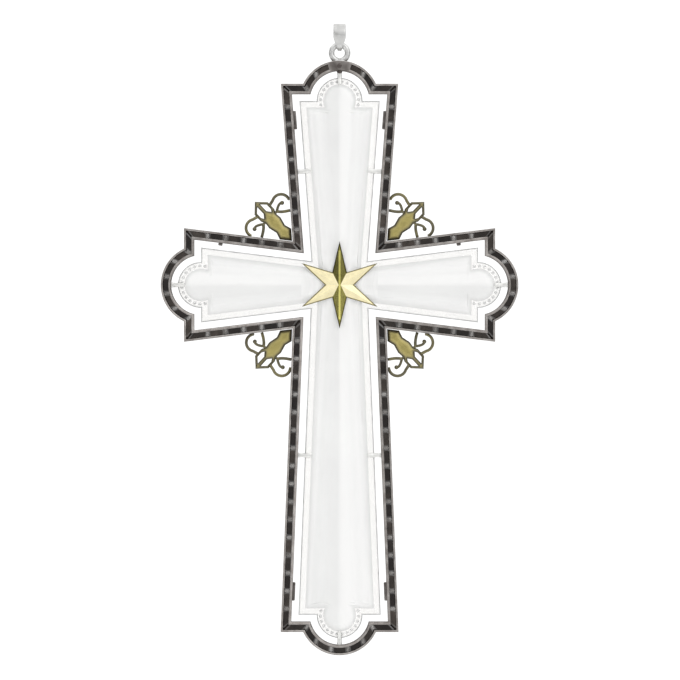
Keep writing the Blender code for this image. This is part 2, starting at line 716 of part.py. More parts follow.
def build_bail(collection, material):
    """The bail: a tapered strip folded into a teardrop, its foot through the frame's ring."""
    bm = bmesh.new()
    rows = []
    foot = BAIL_INSIDE_HEIGHT + BAIL_THICKNESS / 2
    for height, depth in bail_path():
        share = (-height - BAIL_TAPER_FROM) / (foot - BAIL_TAPER_FROM)
        width = BAIL_TOP_WIDTH + (BAIL_FOOT_WIDTH - BAIL_TOP_WIDTH) * min(1, max(0, share))
        rows.append([bm.verts.new((x * width / 2, depth, height)) for x in (-1, 0, 1)])
    for row, after in zip(rows, rows[1:] + rows[:1]):
        bm.faces.new((row[0], row[1], after[1], after[0]))
        bm.faces.new((row[1], row[2], after[2], after[1]))
    bail = add_object("bail", mesh_from_bmesh("bail", bm), collection, None, material)
    bail.data.shade_smooth()
    solidify = bail.modifiers.new("strip thickness", "SOLIDIFY")
    solidify.thickness = BAIL_THICKNESS
    solidify.offset = 0
    solidify.use_even_offset = True


def main():
    """Build every piece of the cross ornament."""
    clear_scene()
    parts = bpy.data.collections.new("cross_ornament")
    cutters = bpy.data.collections.new("cutters")
    for collection in (parts, cutters):
        bpy.context.scene.collection.children.link(collection)
    blackened_silver = make_material("blackened_silver", (0.16, 0.14, 0.13), 0.42, 1.0)
    silver = make_material("silver", (0.80, 0.80, 0.79), 0.22, 1.0)
    gold = make_material("gold", (0.72, 0.56, 0.20), 0.28, 1.0)
    dark_stone = make_material("dark_stone", (0.025, 0.02, 0.02), 0.12, 0.0)
    crystal = make_material("crystal", (0.90, 0.91, 0.91), 0.3, 0.0)
    centre = bpy.data.objects.new("cross_centre", None)
    parts.objects.link(centre)
    centre.location = (0, 0, -CROSS_DROP)
    centre.rotation_euler = (math.pi / 2, 0, 0)
    build_frame(parts, centre, blackened_silver)
    build_side_stones(parts, centre, dark_stone)
    build_end_stones(parts, centre, dark_stone)
    build_crystal(parts, centre, crystal)
    build_star(parts, centre, gold)
    build_fleurons(parts, centre, gold)
    build_bail(parts, silver)


main()
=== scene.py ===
"""Looks of the cross ornament: fine surfaces, materials, light and camera.

The carved pieces are drawn flat about the cross's own centre, x to the right, y up and z
towards the front, as in the part's source, and then stood upright.
"""

from math import asin, atan2, copysign, cos, pi, radians, sin, sqrt, tan
from typing import NamedTuple

import bmesh
import bpy
from mathutils import Matrix, Vector
from mathutils.geometry import delaunay_2d_cdt


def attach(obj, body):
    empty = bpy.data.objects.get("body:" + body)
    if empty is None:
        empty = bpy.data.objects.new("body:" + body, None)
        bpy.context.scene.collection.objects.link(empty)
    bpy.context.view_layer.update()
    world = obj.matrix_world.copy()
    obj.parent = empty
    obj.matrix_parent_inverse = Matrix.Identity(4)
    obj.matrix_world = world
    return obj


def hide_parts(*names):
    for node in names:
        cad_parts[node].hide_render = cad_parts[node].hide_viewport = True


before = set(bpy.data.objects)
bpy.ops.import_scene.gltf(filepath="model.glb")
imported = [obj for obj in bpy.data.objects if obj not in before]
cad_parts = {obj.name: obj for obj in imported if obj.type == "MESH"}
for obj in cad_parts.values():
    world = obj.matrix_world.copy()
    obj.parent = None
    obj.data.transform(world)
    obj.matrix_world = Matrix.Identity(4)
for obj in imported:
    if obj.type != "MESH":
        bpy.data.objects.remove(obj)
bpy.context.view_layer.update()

MM = 0.001

# Outline of the frame, as half widths across an arm and distances along it from the centre
UPRIGHT_ROOT = 8.9 * MM
CROSSBAR_ROOT = 8.25 * MM
UPPER_SHOULDER = 38.2 * MM
UPPER_CORNER = 11.15 * MM
LOWER_SHOULDER = 65.9 * MM
LOWER_CORNER = 11.2 * MM
SIDE_SHOULDER = 29.55 * MM
SIDE_CORNER = 10.8 * MM
LOBE_HALF_CHORD = 6.9 * MM
LOBE_RISE = 4.4 * MM
LOBE_STEPS = 36

# Frame band and its channel
BAND_WIDTH = 1.95 * MM
FRAME_FRONT = 1.6 * MM
RIM_WIDTH = 0.3 * MM
CHANNEL_FLOOR = 0.7 * MM
RIM_ROUND = 0.1 * MM
OUTER_LIP = 0.38 * MM
INNER_LIP = 0.52 * MM

# Stones in the channel, and the silver grains at their joints
STONE_PITCH = 3.4 * MM
STONE_CLEARANCE = 0.05 * MM
STONE_GIRDLE = 0.45 * MM
STONE_CROWN = 0.3 * MM
STONE_ARC_STEPS = 2
STONE_SHADE_STEP = 0.618
JOINT_BAR_WIDTH = 0.6 * MM
JOINT_BAR_LENGTH = 0.4 * MM
GRAIN_RADIUS = 0.26 * MM
GRAIN_HEIGHT = 0.16 * MM

# Crystal cross
CRYSTAL_INSET = 3.25 * MM
CRYSTAL_BACK = 1.2 * MM
CRYSTAL_EDGE_FRONT = 0.7 * MM
CRYSTAL_BEVEL_SLOPE = 0.32
CRYSTAL_CHAMFER = 0.22 * MM
VALLEY_FRONT = 1.1 * MM
CRYSTAL_BEVEL_WIDTH = (VALLEY_FRONT - CRYSTAL_EDGE_FRONT) / CRYSTAL_BEVEL_SLOPE
REED_HEIGHT = 0.45 * MM
CENTRE_REED_AT_STAR = 0.12 * MM
CENTRE_REED_AT_SHOULDER = 3.1 * MM
SIDE_REED_AT_STAR = 2.7 * MM
SIDE_REED_AT_SHOULDER = 6.2 * MM
FAN_OVERLAP = 0.3 * MM
FIELD_GRID = 0.5 * MM
BORDER_STEPS = 8
FIELD_EASE = 1.6 * MM
FIELD_RIM = 0.7 * MM
STREAK_SPREAD = 1.3
CROSSBAR_STREAKS_FROM = UPRIGHT_ROOT - CRYSTAL_INSET + 1.6 * MM
CRYSTAL_IOR = 1.46
BORDER_BEADS = 13
BORDER_BEAD_SIZE = (0.3 * MM, 0.3 * MM, 0.16 * MM)
BORDER_BEAD_AT = 0.6

# Claws and lugs on the frame's inner wall
CRYSTAL_GAP = 1.3 * MM
CLAW_WIDTH = 0.85 * MM
CLAW_THICKNESS = 0.35 * MM
CLAW_HOLD = 1.35 * MM
CLAW_SIDES = 16
CLAW_CLEARANCE = 0.1 * MM
UPPER_CLAW_PAIR = 21.5 * MM
LOWER_CLAW_PAIR = 32.3 * MM
LUG_LENGTH = 3.5 * MM
LUG_PROUD = 0.5 * MM
LUG_DEPTH = 1.0 * MM
LUG_SINK = 0.3 * MM
UPPER_LUG_PAIR = 31.3 * MM
LOWER_LUG_PAIR = 58.2 * MM
SIDE_LUG = 22.6 * MM
SIDE_LUG_LENGTH = 0.8 * MM

# Star on the crossing
STAR_RADIUS = 8.3 * MM
STAR_WAIST = 2.75 * MM
STAR_RIM = 0.25 * MM
STAR_HEIGHT = 1.4 * MM
STAR_POINTS = 6
STAR_CLEARANCE = 0.1 * MM
STAR_BACK = VALLEY_FRONT + REED_HEIGHT + STAR_CLEARANCE
STAR_EDGE_OUTER = 0.93
STAR_EDGE_INNER = 0.88
STAR_RIDGE = 0.22 * MM

# Fleurons, measured outward from the frame's outer angle and across the axis
SOLDER_GAP = 0.1 * MM
FLEURON_THICKNESS = 1.1 * MM
FLEURON_GRID = 0.13 * MM
FLEURON_ROUNDNESS = 1.2 * MM
# Fleuron places lower on the dome than this are painted in the dull gold, as shade.
DULL_BELOW = 0.35
STEM_FOOT_HALF_WIDTH = 1.5 * MM
STEM_HALF_WIDTH = 1.1 * MM
STEM_NARROWEST_AT = 3.3 * MM
BODY_WIDEST_AT = 4.9 * MM
BODY_HALF_WIDTH = 1.5 * MM
WAIST_AT = 6.15 * MM
WAIST_HALF_WIDTH = 1.35 * MM
SCROLL_JUNCTION_AT = 6.25 * MM
SCROLL_JUNCTION_ACROSS = 1.78 * MM
LEAF_FROM = 6.9 * MM
LEAF_HALF_WIDTH = 1.75 * MM
LEAF_TIP = 10.45 * MM
LEAF_WALL = 0.5 * MM
LEAF_RIB_HALF = 0.38 * MM
SCROLL_WIRE = 0.57 * MM
SCROLL_RADIUS = 1.65 * MM
SCROLL_ALONG = 6.85 * MM
SCROLL_ACROSS = 3.45 * MM
SCROLL_SPRING_AT = 8.0 * MM
SCROLL_START = radians(-30)
SCROLL_STEPS = 28
TIE_BOW = 0.5 * MM
TIE_STEPS = 12
WIRE_SIDES = 14
WIRE_END_LENGTH = 0.12
WIRE_END_SHARE = 0.75
CURL_WIRE = 0.5 * MM
CURL_BEND = 0.4 * MM
CURL_STEPS = 16
CURL_BALL = 0.4 * MM

# Ring on the frame's top, and the bail linked through it
RING_WIRE = 1.15 * MM
RING_HOLE_RADIUS = 0.95 * MM
RING_SINK = 0.6 * MM
MOUND_SIZE = (1.3 * MM, 0.45 * MM, 0.8 * MM)
LINK_GAP = 0.15 * MM
TOP_PLATE_HALF_LENGTH = 2.4 * MM
TOP_PLATE_PROUD = 0.08 * MM
TOP_PLATE_STEPS = 16
BAIL_INSIDE_HEIGHT = 4.3 * MM
BAIL_EYE_RADIUS = 1.5 * MM
BAIL_THICKNESS = 0.45 * MM
BAIL_TOP_WIDTH = 2.35 * MM
BAIL_FOOT_WIDTH = 0.8 * MM
BAIL_TAPER_FROM = 2.2 * MM
BAIL_SIDES = 20
BAIL_EYE_STEPS = 40
BAIL_FOOT_STEPS = 16
BAIL_SIDE_STEPS = 8

# Places that follow from the sizes above, and how outlines are filled with triangles
RING_CENTRE_DROP = BAIL_INSIDE_HEIGHT - LINK_GAP + RING_HOLE_RADIUS
RING_OUTER_RADIUS = RING_HOLE_RADIUS + RING_WIRE
UPPER_APEX = UPPER_SHOULDER + LOBE_RISE
CROSS_DROP = RING_CENTRE_DROP + RING_OUTER_RADIUS - RING_SINK + UPPER_APEX
ALL_TRIANGLES = 0
INSIDE_ONLY = 1
MERGE_REACH = 1e-7
UPRIGHT = Matrix.Translation((0, 0, -CROSS_DROP)) @ Matrix.Rotation(pi / 2, 4, "X")

# Camera: the photograph's frame is square, and its middle looks at this point
VIEW_WIDTH = 129.2 * MM
VIEW_CENTRE_X = 0.08 * MM
VIEW_CENTRE_Z = -59.65 * MM
CAMERA_DISTANCE = 1.5
SENSOR_WIDTH = 36

# Light: dim patches as direction, where they are full, where they end and how bright they stay
TENT_STRENGTH = 1.15
DIM_PATCHES = (
    ((0, -1, 0), 0.97, 0.87, 0.25),
    ((-0.96, -0.28, 0), 0.93, 0.80, 0.08),
    ((0.96, -0.28, 0), 0.93, 0.80, 0.14),
)
LIGHT_SIZE = 0.5
FLOOR_SIZE = 3.0
FLOOR_LEVEL = -0.5


class Arm(NamedTuple):
    """One arm of the cross: its turn from +x, and the half widths and reaches that shape it."""

    name: str
    turn: float
    root: float
    root_reach: float
    shoulder: float
    corner: float


RIGHT = Arm("right", 0.0, CROSSBAR_ROOT, UPRIGHT_ROOT, SIDE_SHOULDER, SIDE_CORNER)
UPPER = Arm("upper", pi / 2, UPRIGHT_ROOT, CROSSBAR_ROOT, UPPER_SHOULDER, UPPER_CORNER)
LEFT = Arm("left", pi, CROSSBAR_ROOT, UPRIGHT_ROOT, SIDE_SHOULDER, SIDE_CORNER)
LOWER = Arm("lower", 3 * pi / 2, UPRIGHT_ROOT, CROSSBAR_ROOT, LOWER_SHOULDER, LOWER_CORNER)
ARMS = (RIGHT, UPPER, LEFT, LOWER)


def add_node(tree, kind, **values):
    """A shader node with some of its input values set."""
    node = tree.nodes.new(kind)
    for name, value in values.items():
        node.inputs[name].default_value = value
    return node


def new_material(name, **values):
    """A Principled material and its shader node. Values set the shader's own sockets."""
    material = bpy.data.materials.new(name)
    material.use_nodes = True
    shader = material.node_tree.nodes["Principled BSDF"]
    for socket, value in values.items():
        shader.inputs[socket.replace("_", " ")].default_value = value
    return material, shader


def noise_value(tree, size, detail=4.0):
    """Noise from 0 to 1 whose blotches are about the given size in metres."""
    place = tree.nodes.new("ShaderNodeTexCoord")
    node = add_node(tree, "ShaderNodeTexNoise", Scale=1 / size, Detail=detail)
    tree.links.new(place.outputs["Object"], node.inputs["Vector"])
    return node.outputs["Fac"]


def ramp(tree, value, stops):
    """A colour ramp over a value, between two stops of (place, colour)."""
    node = tree.nodes.new("ShaderNodeValToRGB")
    elements = node.color_ramp.elements
    for element, (place, color) in zip(elements, stops):
        element.position = place
        element.color = (*color, 1.0)
    tree.links.new(value, node.inputs["Fac"])
    return node.outputs["Color"]


def mix_colors(tree, factor, first, second):
    """First and second colour mixed by a factor. Each may be a socket or a plain colour."""
    node = tree.nodes.new("ShaderNodeMix")
    node.data_type = "RGBA"
    tree.links.new(factor, node.inputs["Factor"])
    for socket, value in ((node.inputs[6], first), (node.inputs[7], second)):
        if isinstance(value, tuple):
            socket.default_value = (*value, 1.0)
        else:
            tree.links.new(value, socket)
    return node.outputs[2]


def roughen(tree, shader, value, low, high):
    """Let a value vary the roughness between two limits."""
    node = add_node(tree, "ShaderNodeMapRange", **{"To Min": low, "To Max": high})
    tree.links.new(value, node.inputs["Value"])
    tree.links.new(node.outputs["Result"], shader.inputs["Roughness"])


def bump(tree, shader, value, height):
    """Let a value raise the surface by a height in metres in the shading."""
    node = add_node(tree, "ShaderNodeBump", Strength=1.0, Distance=height)
    tree.links.new(value, node.inputs["Height"])
    tree.links.new(node.outputs["Normal"], shader.inputs["Normal"])


def wear_and_shade_value(tree):
    """The piece's own record, from 0 to 1, of how worn or polished each place is; on the gold and the
    crystal it marks where shade or a highlight is painted.
    """
    node = tree.nodes.new("ShaderNodeAttribute")
    node.attribute_name = "wear_and_shade"
    return node.outputs["Fac"]


def worn_and_shaded_material(name, size, tones, rough, grain=None, **values):
    """A material in blotches of a size, each between two tones and two roughnesses.

    Two pairs of tones go to low and high values of that record: hollows and worn places on the frame,
    painted shade and painted highlights on the gold.
    Grain is the size and the height of fine bumps.
    """
    material, shader = new_material(name, **values)
    tree = material.node_tree
    blotches = noise_value(tree, size)
    colors = [ramp(tree, blotches, [(0.3, first), (0.7, second)]) for first, second in tones]
    color = mix_colors(tree, wear_and_shade_value(tree), *colors) if len(colors) == 2 else colors[0]
    tree.links.new(color, shader.inputs["Base Color"])
    roughen(tree, shader, blotches, *rough)
    if grain:
        bump(tree, shader, noise_value(tree, grain[0], 2.0), grain[1])
    return material


def brushed_silver(name, size, dark, pale, rough, grain=(0.3 * MM, 0.003 * MM)):
    """Softly brushed silver with faint wear marks."""
    return worn_and_shaded_material(name, size, [(dark, pale)], rough, grain, Metallic=1.0)


def gold(name, bright_highlight, dull_shade, rough):
    """Gold painted dull where its recorded value is low, as shade, and bright where it is high, as a
    highlight.
    """
    shade = tuple(part * 0.86 for part in bright_highlight)
    grain = (0.18 * MM, 0.004 * MM)
    tones = [(dull_shade, dull_shade), (shade, bright_highlight)]
    return worn_and_shaded_material(name, 1.2 * MM, tones, rough, grain, Metallic=1.0)


def math_value(tree, operation, first, second=0.0):
    """The result of a calculation on two values. Each may be a socket or a number."""
    node = tree.nodes.new("ShaderNodeMath")
    node.operation = operation
    for socket, value in zip(node.inputs, (first, second)):
        if isinstance(value, (int, float)):
            socket.default_value = value
        else:
            tree.links.new(value, socket)
    return node.outputs["Value"]


def streak_value(tree, width, detail):
    """Noise from 0 to 1 in streaks that fan out along each arm from the crossing."""
    place = tree.nodes.new("ShaderNodeTexCoord")
    split = tree.nodes.new("ShaderNodeSeparateXYZ")
    tree.links.new(place.outputs["Object"], split.inputs["Vector"])
    height = math_value(tree, "ADD", split.outputs["Z"], CROSS_DROP)
    far_up = math_value(tree, "ABSOLUTE", height)
    far_out = math_value(tree, "ABSOLUTE", split.outputs["X"])
    rows = []
    for across, reach, spread in (
        (split.outputs["X"], far_up, STREAK_SPREAD / UPPER_SHOULDER),
        (height, far_out, STREAK_SPREAD / SIDE_SHOULDER),
    ):
        widening = math_value(tree, "MULTIPLY_ADD", reach, spread)
        widening.node.inputs[2].default_value = 1.0
        rows.append(math_value(tree, "DIVIDE", across, widening))
    far = math_value(tree, "GREATER_THAN", far_out, CROSSBAR_STREAKS_FROM)
    low = math_value(tree, "LESS_THAN", far_up, SIDE_CORNER)
    on_crossbar = math_value(tree, "MULTIPLY", far, low)
    pick = tree.nodes.new("ShaderNodeMix")
    tree.links.new(on_crossbar, pick.inputs["Factor"])
    tree.links.new(rows[0], pick.inputs[2])
    tree.links.new(rows[1], pick.inputs[3])
    node = add_node(tree, "ShaderNodeTexNoise", Scale=1 / width, Detail=detail)
    node.noise_dimensions = "1D"
    tree.links.new(pick.outputs[0], node.inputs["W"])
    return node.outputs["Fac"]


def crystal_field():
    """The crystal's carved field: milky, softly ground, with fine streaks along the carving painted
    lighter on their crests and darker between, and a grey band of painted shade along its border.
    """
    material, shader = new_material("crystal_field", IOR=CRYSTAL_IOR, Transmission_Weight=0.3)
    tree = material.node_tree
    streaks = streak_value(tree, 2.2 * MM, 3.0)
    clouds = noise_value(tree, 9 * MM, 5.0)
    # Painted light and shade: the streaks that the bump raises are coloured lighter, the hollows
    # between them darker.
    streak_shaded = ramp(tree, streaks, [(0.38, (0.80, 0.805, 0.795)), (0.62, (0.99, 0.99, 0.98))])
    clouded = ramp(tree, clouds, [(0.3, (0.89, 0.885, 0.89)), (0.7, (0.98, 0.985, 0.975))])
    soft = add_node(tree, "ShaderNodeMapRange", **{"To Min": 0.25, "To Max": 0.55})
    tree.links.new(clouds, soft.inputs["Value"])
    carved = mix_colors(tree, soft.outputs["Result"], streak_shaded, clouded)
    # Painted shade: a grey band where the field meets the bevel.
    border_shaded = mix_colors(tree, wear_and_shade_value(tree), (0.72, 0.725, 0.715), carved)
    tree.links.new(border_shaded, shader.inputs["Base Color"])
    roughen(tree, shader, clouds, 0.28, 0.4)
    bump(tree, shader, streaks, 0.12 * MM)
    return material


def mesh_from_bmesh(name, bm):
    """Turn a bmesh into a mesh with its faces pointing out."""
    bmesh.ops.recalc_face_normals(bm, faces=bm.faces)
    mesh = bpy.data.meshes.new(name)
    bm.to_mesh(mesh)
    bm.free()
    return mesh


def join_rows(bm, lower, upper):
    """The ring of faces between two rows of equally many points."""
    faces = []
    for index in range(len(lower)):
        after = (index + 1) % len(lower)
        faces.append(bm.faces.new((lower[index], lower[after], upper[after], upper[index])))
    return faces


def add_rings(bm, rings, closed):
    """Join rings of equally many points into a surface: a closed loop, or capped at its ends."""
    rows = [[bm.verts.new(point) for point in ring] for ring in rings]
    following = rows[1:] + rows[:1] if closed else rows[1:]
    for lower, upper in zip(rows, following):
        join_rows(bm, lower, upper)
    if not closed:
        bm.faces.new(rows[0])
        bm.faces.new(rows[-1])


def add_ball(bm, segments, rings, size, place):
    """A ball of given half sizes along x, y and z, set in place by a matrix."""
    ball = bmesh.new()
    bmesh.ops.create_uvsphere(ball, u_segments=segments, v_segments=rings, radius=1.0)
    bmesh.ops.scale(ball, verts=ball.verts, vec=size)
    bmesh.ops.transform(ball, verts=ball.verts, matrix=place)
    mesh = mesh_from_bmesh("ball", ball)
    bm.from_mesh(mesh)
    bpy.data.meshes.remove(mesh)


def oval(steps, side_power, rise_power):
    """Points round an oval with half sizes of 1. Powers below 1 square it off."""
    points = []
    for step in range(steps):
        turn = 2 * pi * step / steps
        side = copysign(abs(cos(turn)) ** side_power, cos(turn))
        rise = copysign(abs(sin(turn)) ** rise_power, sin(turn))
        points.append((side, rise))
    return points


def add_piece(name, bm, materials, smooth=None):
    """Stand a flat-drawn shape upright as a piece of the object."""
    mesh = mesh_from_bmesh(name, bm)
    mesh.transform(UPRIGHT)
    for material in materials:
        mesh.materials.append(material)
    if smooth is not None:
        mesh.shade_smooth()
        mesh.set_sharp_from_angle(angle=radians(smooth))
    piece = bpy.data.objects.new(name, mesh)
    bpy.context.scene.collection.objects.link(piece)
    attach(piece, "root")
    return piece


def on_arm(arm, along, across):
    """The point at a distance along an arm and to the left of its axis, seen outward."""
    return Matrix.Rotation(arm.turn, 2) @ Vector((along, across))


def side_line(arm, side, inset):
    """Two points of an arm's straight side, moved inward. Side is +1 left and -1 right."""
    start = Vector((arm.root_reach, side * arm.root))
    end = Vector((arm.shoulder, side * arm.corner))
    run = (end - start).normalized()
    inward = Vector((run.y, -run.x)) * side * inset
    return on_arm(arm, *(start + inward)), on_arm(arm, *(end + inward))


def meet(first, second):
    """Where two lines, each given by two points, cross."""
    origin, run = first[0], first[1] - first[0]
    other, other_run = second[0], second[1] - second[0]
    share = (other - origin).cross(other_run) / run.cross(other_run)
    return origin + run * share


def inner_angle(arm, side, inset):
    """The corner that an arm's side makes with the next arm, moved inward."""
    neighbour = ARMS[(ARMS.index(arm) + side) % len(ARMS)]
    return meet(side_line(arm, side, inset), side_line(neighbour, -side, inset))


def end_corner(arm, side, inset):
    """The square corner between an arm's side and its shoulder, moved inward."""
    reach = arm.shoulder - inset
    shoulder = (on_arm(arm, reach, 0), on_arm(arm, reach, arm.corner))
    return meet(side_line(arm, side, inset), shoulder)


def lobe_circle(arm, inset):
    """The centre's reach, the radius and the half angle of an arm's lobe, moved inward."""
    half_chord = sqrt(LOBE_HALF_CHORD ** 2 - 2 * LOBE_RISE * inset)
    radius = (half_chord ** 2 + LOBE_RISE ** 2) / (2 * LOBE_RISE)
    centre = arm.shoulder - inset + LOBE_RISE - radius
    return centre, radius, atan2(half_chord, radius - LOBE_RISE)


def lobe_arc(arm, inset, steps):
    """The round lobe at an arm's end, moved inward, from its right shoulder to its left."""
    centre, radius, half_angle = lobe_circle(arm, inset)
    points = []
    for step in range(steps + 1):
        angle = half_angle * (2 * step / steps - 1)
        points.append(on_arm(arm, centre + radius * cos(angle), radius * sin(angle)))
    return points


def cross_outline(inset, steps=LOBE_STEPS):
    """The outline of the whole cross, moved inward, anticlockwise as seen from the front."""
    points = []
    for arm in ARMS:
        points.append(inner_angle(arm, -1, inset))
        points.append(end_corner(arm, -1, inset))
        points.extend(lobe_arc(arm, inset, steps))
        points.append(end_corner(arm, 1, inset))
    return points


def at_level(points, level):
    """Flat points lifted to one height."""
    return [Vector((point.x, point.y, level)) for point in points]


def build_band(material):
    """The frame's band: rounded lips rubbed over the stones, and softened back edges."""
    back = [(RIM_ROUND, -FRAME_FRONT), (0, RIM_ROUND - FRAME_FRONT)]
    outer = [(0, FRAME_FRONT - 0.12 * MM), (0.05 * MM, FRAME_FRONT - 0.03 * MM)]
    outer += [(0.14 * MM, FRAME_FRONT), (0.24 * MM, FRAME_FRONT - 0.02 * MM)]
    outer += [(OUTER_LIP, FRAME_FRONT - 0.1 * MM), (RIM_WIDTH, FRAME_FRONT - 0.2 * MM)]
    inner = [(0, FRAME_FRONT - 0.24 * MM), (0.06 * MM, FRAME_FRONT - 0.14 * MM)]
    inner += [(0.3 * MM, FRAME_FRONT - 0.02 * MM), (0.38 * MM, FRAME_FRONT - 0.01 * MM)]
    inner += [(INNER_LIP, FRAME_FRONT - 0.1 * MM), (RIM_WIDTH, FRAME_FRONT - 0.2 * MM)]
    profile = [*back, *outer, (RIM_WIDTH, CHANNEL_FLOOR)]
    mirrored = [*back, *inner, (RIM_WIDTH, CHANNEL_FLOOR)]
    profile += [(BAND_WIDTH - inset, level) for inset, level in reversed(mirrored)]
    bm = bmesh.new()
    wear_shade_layer = bm.verts.layers.float.new("wear_and_shade")
    add_rings(bm, [at_level(cross_outline(inset), level) for inset, level in profile], True)
    low_rim = FRAME_FRONT - 0.26 * MM
    for vert in bm.verts:
        vert[wear_shade_layer] = min(1, max(0, (vert.co.z - low_rim) / (0.2 * MM)))
    band = add_piece("frame_band", bm, [material], 40)
    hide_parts("frame")


def directions(points):
    """The direction that a row of points takes at each of them."""
    padded = [points[0], *points, points[-1]]
    return [(after - before).normalized() for before, after in zip(padded, padded[2:])]


def tongue_rings(path):
    """Rounded sections along a path of (reach, level, share of the width, share of the thickness)."""
    rings = []
    runs = directions([Vector(station[:2]) for station in path])
    for (reach, level, wide, thick), run in zip(path, runs):
        normal = Vector((-run.y, run.x))
        ring = []
        for side, rise in oval(CLAW_SIDES, 0.7, 0.7):
            lift = normal * rise * CLAW_THICKNESS / 2 * thick
            ring.append((reach + lift.x, side * CLAW_WIDTH / 2 * wide, level + lift.y))
        rings.append(ring)
    return rings


def add_claw(bm, foot, inward):
    """A claw: a root block on the inner wall, a rounded tongue over the front and one behind."""
    edge_level = CRYSTAL_EDGE_FRONT + CLAW_CLEARANCE + CLAW_THICKNESS / 2
    rise = CLAW_HOLD * CRYSTAL_BEVEL_SLOPE
    tip = CRYSTAL_GAP + CLAW_HOLD
    front = [
        (-0.1 * MM, edge_level - 0.1 * MM, 1.15, 1.5),
        (0.3 * MM, edge_level - 0.02 * MM, 1.05, 1.3),
        (CRYSTAL_GAP * 0.6, edge_level, 0.95, 1.1),
        (CRYSTAL_GAP, edge_level + 0.02 * MM, 0.95, 1.0),
        (CRYSTAL_GAP + CLAW_HOLD * 0.6, edge_level + rise * 0.6, 0.95, 1.0),
        (tip - 0.25 * MM, edge_level + rise * 0.85, 0.85, 0.9),
        (tip - 0.08 * MM, edge_level + rise * 0.93, 0.6, 0.7),
        (tip, edge_level + rise * 0.95, 0.25, 0.3),
    ]
    back_level = -CRYSTAL_BACK - CLAW_CLEARANCE - 0.12 * MM
    back = [
        (-0.1 * MM, back_level, 1.0, 0.7),
        (CRYSTAL_GAP, back_level, 1.0, 0.7),
        (tip - 0.2 * MM, back_level, 0.85, 0.65),
        (tip, back_level, 0.3, 0.25),
    ]
    wall = CRYSTAL_GAP - CLAW_CLEARANCE - 0.25 * MM
    post = [(wall, back_level, 0.9, 1.3), (wall, edge_level, 0.9, 1.3)]
    across = Vector((0, 0, 1)).cross(inward.to_3d())
    turn = Matrix((inward.to_3d(), across, (0, 0, 1))).transposed().to_4x4()
    place = Matrix.Translation(foot.to_3d()) @ turn
    for path in (front, back, post):
        rings = [[place @ Vector(point) for point in ring] for ring in tongue_rings(path)]
        add_rings(bm, rings, False)


def inner_wall(arm, side, reach):
    """The frame's inner wall at a distance along an arm: a point, its inward normal, its run."""
    start, end = side_line(arm, side, BAND_WIDTH)
    level = (on_arm(arm, reach, 0), on_arm(arm, reach, arm.corner))
    run = (end - start).normalized()
    return meet((start, end), level), Vector((run.y, -run.x)) * side, run


def build_claws(material):
    """The eight claws: one at each arm's end, and a pair on the upper and the lower arm."""
    bm = bmesh.new()
    for arm in ARMS:
        apex = on_arm(arm, arm.shoulder + LOBE_RISE - BAND_WIDTH, 0)
        add_claw(bm, apex, -apex.normalized())
    for arm, reach in ((UPPER, UPPER_CLAW_PAIR), (LOWER, LOWER_CLAW_PAIR)):
        for side in (-1, 1):
            foot, inward, _ = inner_wall(arm, side, reach)
            add_claw(bm, foot, inward)
    add_piece("frame_claws", bm, [material], 50)


def build_lugs(material):
    """The small bars on the frame's inner wall, with rounded edges."""
    bm = bmesh.new()
    places = [(UPPER, side, UPPER_LUG_PAIR, LUG_LENGTH) for side in (-1, 1)]
    places += [(LOWER, side, LOWER_LUG_PAIR, LUG_LENGTH) for side in (-1, 1)]
    places += [(LEFT, -1, SIDE_LUG, SIDE_LUG_LENGTH), (RIGHT, 1, SIDE_LUG, SIDE_LUG_LENGTH)]
    for arm, side, reach, length in places:
        foot, inward, run = inner_wall(arm, side, reach)
        cube = bmesh.ops.create_cube(bm, size=1.0)["verts"]
        bmesh.ops.scale(bm, verts=cube, vec=(length, LUG_PROUD + LUG_SINK, LUG_DEPTH))
        turn = Matrix((run.to_3d(), inward.to_3d(), (0, 0, 1))).transposed().to_4x4()
        place = (foot + inward * (LUG_PROUD - LUG_SINK) / 2).to_3d()
        bmesh.ops.transform(bm, verts=cube, matrix=Matrix.Translation(place) @ turn)
    bmesh.ops.bevel(bm, geom=bm.edges[:], offset=0.14 * MM, segments=3, affect="EDGES", profile=0.5)
    bm.verts.layers.float.new("wear_and_shade")
    set_layer(bm, 0, 0.3)
    add_piece("frame_lugs", bm, [material], 50)


def build_ring(material):
    """The round wire ring on the frame's top, with its mound of solder."""
    bpy.ops.mesh.primitive_torus_add(
        major_radius=RING_HOLE_RADIUS + RING_WIRE / 2,
        minor_radius=RING_WIRE / 2,
        major_segments=64,
        minor_segments=24,
    )
    torus = bpy.context.object
    bm = bmesh.new()
    bm.from_mesh(torus.data)
    bpy.data.objects.remove(torus)
    bmesh.ops.translate(bm, verts=bm.verts, vec=(0, CROSS_DROP - RING_CENTRE_DROP, 0))
    add_ball(bm, 24, 16, MOUND_SIZE, Matrix.Translation((0, UPPER_APEX - 0.05 * MM, 0)))
    add_piece("frame_ring", bm, [material], 60)


